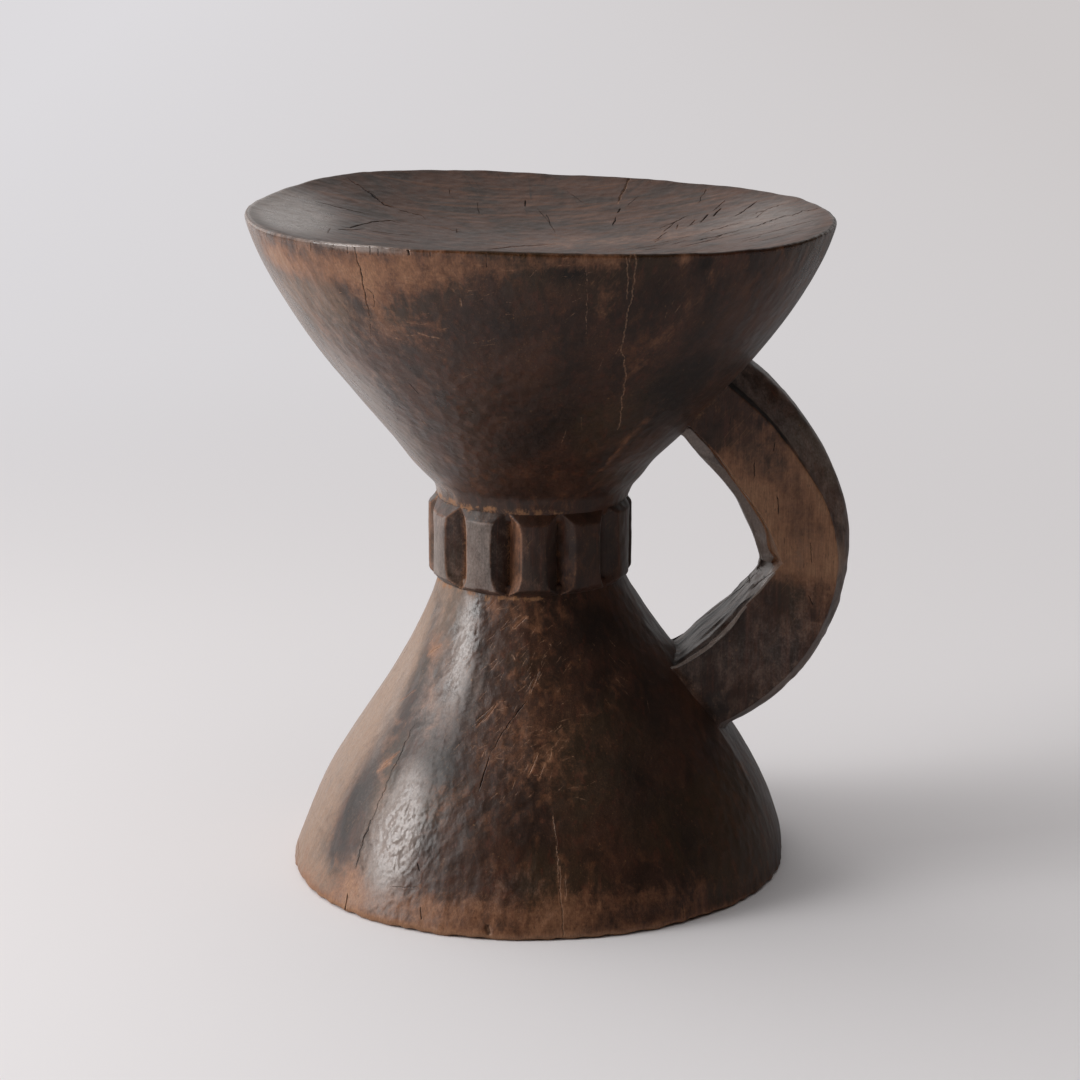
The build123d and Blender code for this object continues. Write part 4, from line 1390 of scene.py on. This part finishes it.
    # the pale tan and grey film on the inner strip of the upper arm, on the lip's crest, on the outer facet
    # and near the elbow are painted sheen and highlight
    paleAndLit = (0.3 + 0.22 * upper - 0.3 * rampTo(degrees, 30, 62)) * frontFace + 0.3 * outerFace
    paleAndLit = paleAndLit + 0.9 * lipCrest + 0.5 * innerUp * (1 - inCrease) * bell(degrees, 22)
    smoothed = 1 - 0.6 * furrowed
    waxAndSheen = 0.38 * outerFace + 1.3 * innerUp * (1 - inCrease) * smoothed + 1.4 * lipCrest
    waxAndSheen = waxAndSheen + 0.2 * frontFace * (1 - upper) + (0.3 + 1.1 * nearElbow) * innerLow * smoothed
    values = {
        "arris": arris, "bare": bare, "smokeAndShade": smokeAndShade, "dust": 0.15 * root, "paleAndLit": paleAndLit,
        "shine": (0.5 + 0.4 * creased) * innerUp + 0.8 * lipCrest, "waxAndSheen": waxAndSheen - 0.35 * inCrease,
    }
    return makeMesh("handleBlank", flat, tubeFaces(rows, columns), values)


carvePiece("archedHandle", makeHandle(), handle, handleMarks, handlePatches, "arched_handle")


studio = {
    "floorColour": "#e6e3e4",
    "floorRadius": 16.0,
    "backdropLeft": "#dddbde",
    "backdropRight": "#cdc9c9",
    "backdropReach": 0.9,  # the tone changes from left to right over this far on both sides, in metres
    "keyTurn": -78.0,  # from the camera's side, minus is left
    "keyHeight": 27.0,
    "keyDistance": 2.3,
    "keySize": (0.7, 1.5),  # wide and high
    "keyPower": 30.0,
    "skyDark": 0.02,  # the unlit room behind the camera
    # pale walls and ceiling: where each lies, how near to that way it starts and is full, its level, and its
    # level in the gloss
    "walls": {
        "behind": ((-0.45, 0.88, 0.05), 0.2, 0.85, 0.62, 0.62),
        "left": ((-0.93, 0.25, 0.3), 0.45, 0.85, 1.0, 1.0),
        "above": ((0.0, 0.0, 1.0), 0.5, 0.95, 0.64, 0.08),
    },
}


def backdropTone(tree, across, reach):
    # the sweep's tone as the camera sees it, with painted shade a little darker towards the right
    side = addNode(tree, "ShaderNodeMapRange", {"From Min": -reach, "From Max": reach}, {"Value": across})
    left, right = hexToLinear(studio["backdropLeft"]), hexToLinear(studio["backdropRight"])
    return addNode(tree, "ShaderNodeMix", {"data_type": "RGBA", 6: left, 7: right}, {0: side}).outputs[2]


def makeFloor():
    shape = bmesh.new()
    bmesh.ops.create_circle(shape, cap_ends=True, segments=96, radius=studio["floorRadius"])
    mesh = bpy.data.meshes.new("studioFloor")
    shape.to_mesh(mesh)
    shape.free()
    floor = bpy.data.objects.new("studioFloor", mesh)
    bpy.context.scene.collection.objects.link(floor)
    material = bpy.data.materials.new("palePaperSweep")
    material.use_nodes = True
    tree = material.node_tree
    tree.nodes.clear()
    place = addNode(tree, "ShaderNodeTexCoord")
    split = addNode(tree, "ShaderNodeSeparateXYZ", {}, {0: place.outputs["Object"]})
    # the gloss picks up less of the floor towards the unlit right of the room
    eye = addNode(tree, "ShaderNodeLightPath")
    dim = addNode(
        tree, "ShaderNodeMapRange",
        {"From Min": -0.3, "From Max": 0.15, "To Min": 0.0, "To Max": 0.6}, {"Value": split.outputs[0]},
    )
    dim = addNode(tree, "ShaderNodeMath", times, {0: dim, 1: eye.outputs["Is Glossy Ray"]})
    pale = hexToLinear(studio["floorColour"])
    sheet = addNode(tree, "ShaderNodeMix", {"data_type": "RGBA", 6: pale, 7: (0, 0, 0, 1)}, {0: dim})
    paper = addNode(tree, "ShaderNodeBsdfDiffuse", {}, {"Color": sheet.outputs[2]})
    # past the object's shadow the camera sees the sweep's glowing tone, with its painted shade towards the
    # right
    reach = addNode(tree, "ShaderNodeVectorMath", {"operation": "LENGTH"}, {0: place.outputs["Object"]})
    far = addNode(
        tree, "ShaderNodeMapRange", {**smoothStep, "From Min": 0.5, "From Max": 1.7},
        {"Value": reach.outputs["Value"]},
    )
    share = addNode(tree, "ShaderNodeMath", times, {0: far, 1: eye.outputs["Is Camera Ray"]})
    tone = backdropTone(tree, split.outputs[0], studio["backdropReach"])
    glow = addNode(tree, "ShaderNodeEmission", {"Strength": 1.0}, {0: tone})
    blend = addNode(tree, "ShaderNodeMixShader", {}, {0: share, 1: paper, 2: glow})
    addNode(tree, "ShaderNodeOutputMaterial", {}, {"Surface": blend})
    mesh.materials.append(material)


def makeLight():
    world = bpy.data.worlds.new("studioWorld")
    bpy.context.scene.world = world
    world.use_nodes = True
    tree = world.node_tree
    tree.nodes.clear()
    place = addNode(tree, "ShaderNodeTexCoord")
    eye = addNode(tree, "ShaderNodeLightPath")
    level = addNode(tree, "ShaderNodeMath", {**plus, 0: studio["skyDark"], 1: 0.0})
    for way, start, full, strength, inGloss in studio["walls"].values():
        facing = addNode(
            tree, "ShaderNodeVectorMath",
            {"operation": "DOT_PRODUCT", 1: tuple(Vector(way).normalized())},
            {0: place.outputs["Generated"]},
        )
        wall = addNode(
            tree, "ShaderNodeMapRange", {**smoothStep, "From Min": start, "From Max": full, "To Max": 1.0},
            {"Value": facing.outputs["Value"]},
        )
        shown = addNode(
            tree, "ShaderNodeMapRange",
            {"To Min": strength, "To Max": inGloss}, {"Value": eye.outputs["Is Glossy Ray"]},
        )
        wall = addNode(tree, "ShaderNodeMath", times, {0: wall, 1: shown})
        level = addNode(tree, "ShaderNodeMath", plus, {0: level, 1: wall})
    soft = addNode(tree, "ShaderNodeBackground", {"Color": (1.0, 0.985, 0.98, 1)}, {"Strength": level})
    # above the floor's edge the camera sees the tone that the sweep has there
    split = addNode(tree, "ShaderNodeSeparateXYZ", {}, {0: place.outputs["Generated"]})
    tone = backdropTone(tree, split.outputs[0], studio["backdropReach"] / studio["floorRadius"])
    seen = addNode(tree, "ShaderNodeBackground", {"Strength": 1.0}, {"Color": tone})
    blend = addNode(tree, "ShaderNodeMixShader", {}, {0: eye.outputs["Is Camera Ray"], 1: soft, 2: seen})
    addNode(tree, "ShaderNodeOutputWorld", {}, {"Surface": blend})
    lamp = bpy.data.lights.new("softbox", "AREA")
    lamp.shape = "RECTANGLE"
    lamp.size, lamp.size_y = studio["keySize"]
    lamp.energy = studio["keyPower"]
    box = bpy.data.objects.new("softbox", lamp)
    turn, rise = math.radians(studio["keyTurn"]), math.radians(studio["keyHeight"])
    way = Vector((math.sin(turn) * math.cos(rise), -math.cos(turn) * math.cos(rise), math.sin(rise)))
    box.location = Vector((0, 0, 0.2)) + way * studio["keyDistance"]
    box.rotation_euler = way.to_track_quat("Z", "Y").to_euler()
    bpy.context.scene.collection.objects.link(box)


def makeCamera():
    lens = bpy.data.cameras.new("photoCamera")
    lens.sensor_width = 36
    lens.lens = photo["focal"] * 36 / photo["size"]
    lens.clip_start, lens.clip_end = 0.05, 60
    camera = bpy.data.objects.new("photoCamera", lens)
    camera.location = (0, -photo["distance"] * mm, photo["height"] * mm)
    camera.rotation_euler = (math.radians(90 - photo["tilt"]), 0, 0)
    bpy.context.scene.collection.objects.link(camera)
    bpy.context.scene.camera = camera


makeFloor()
makeLight()
makeCamera()
bpy.context.scene.view_settings.view_transform = "Standard"
print("studio ready")
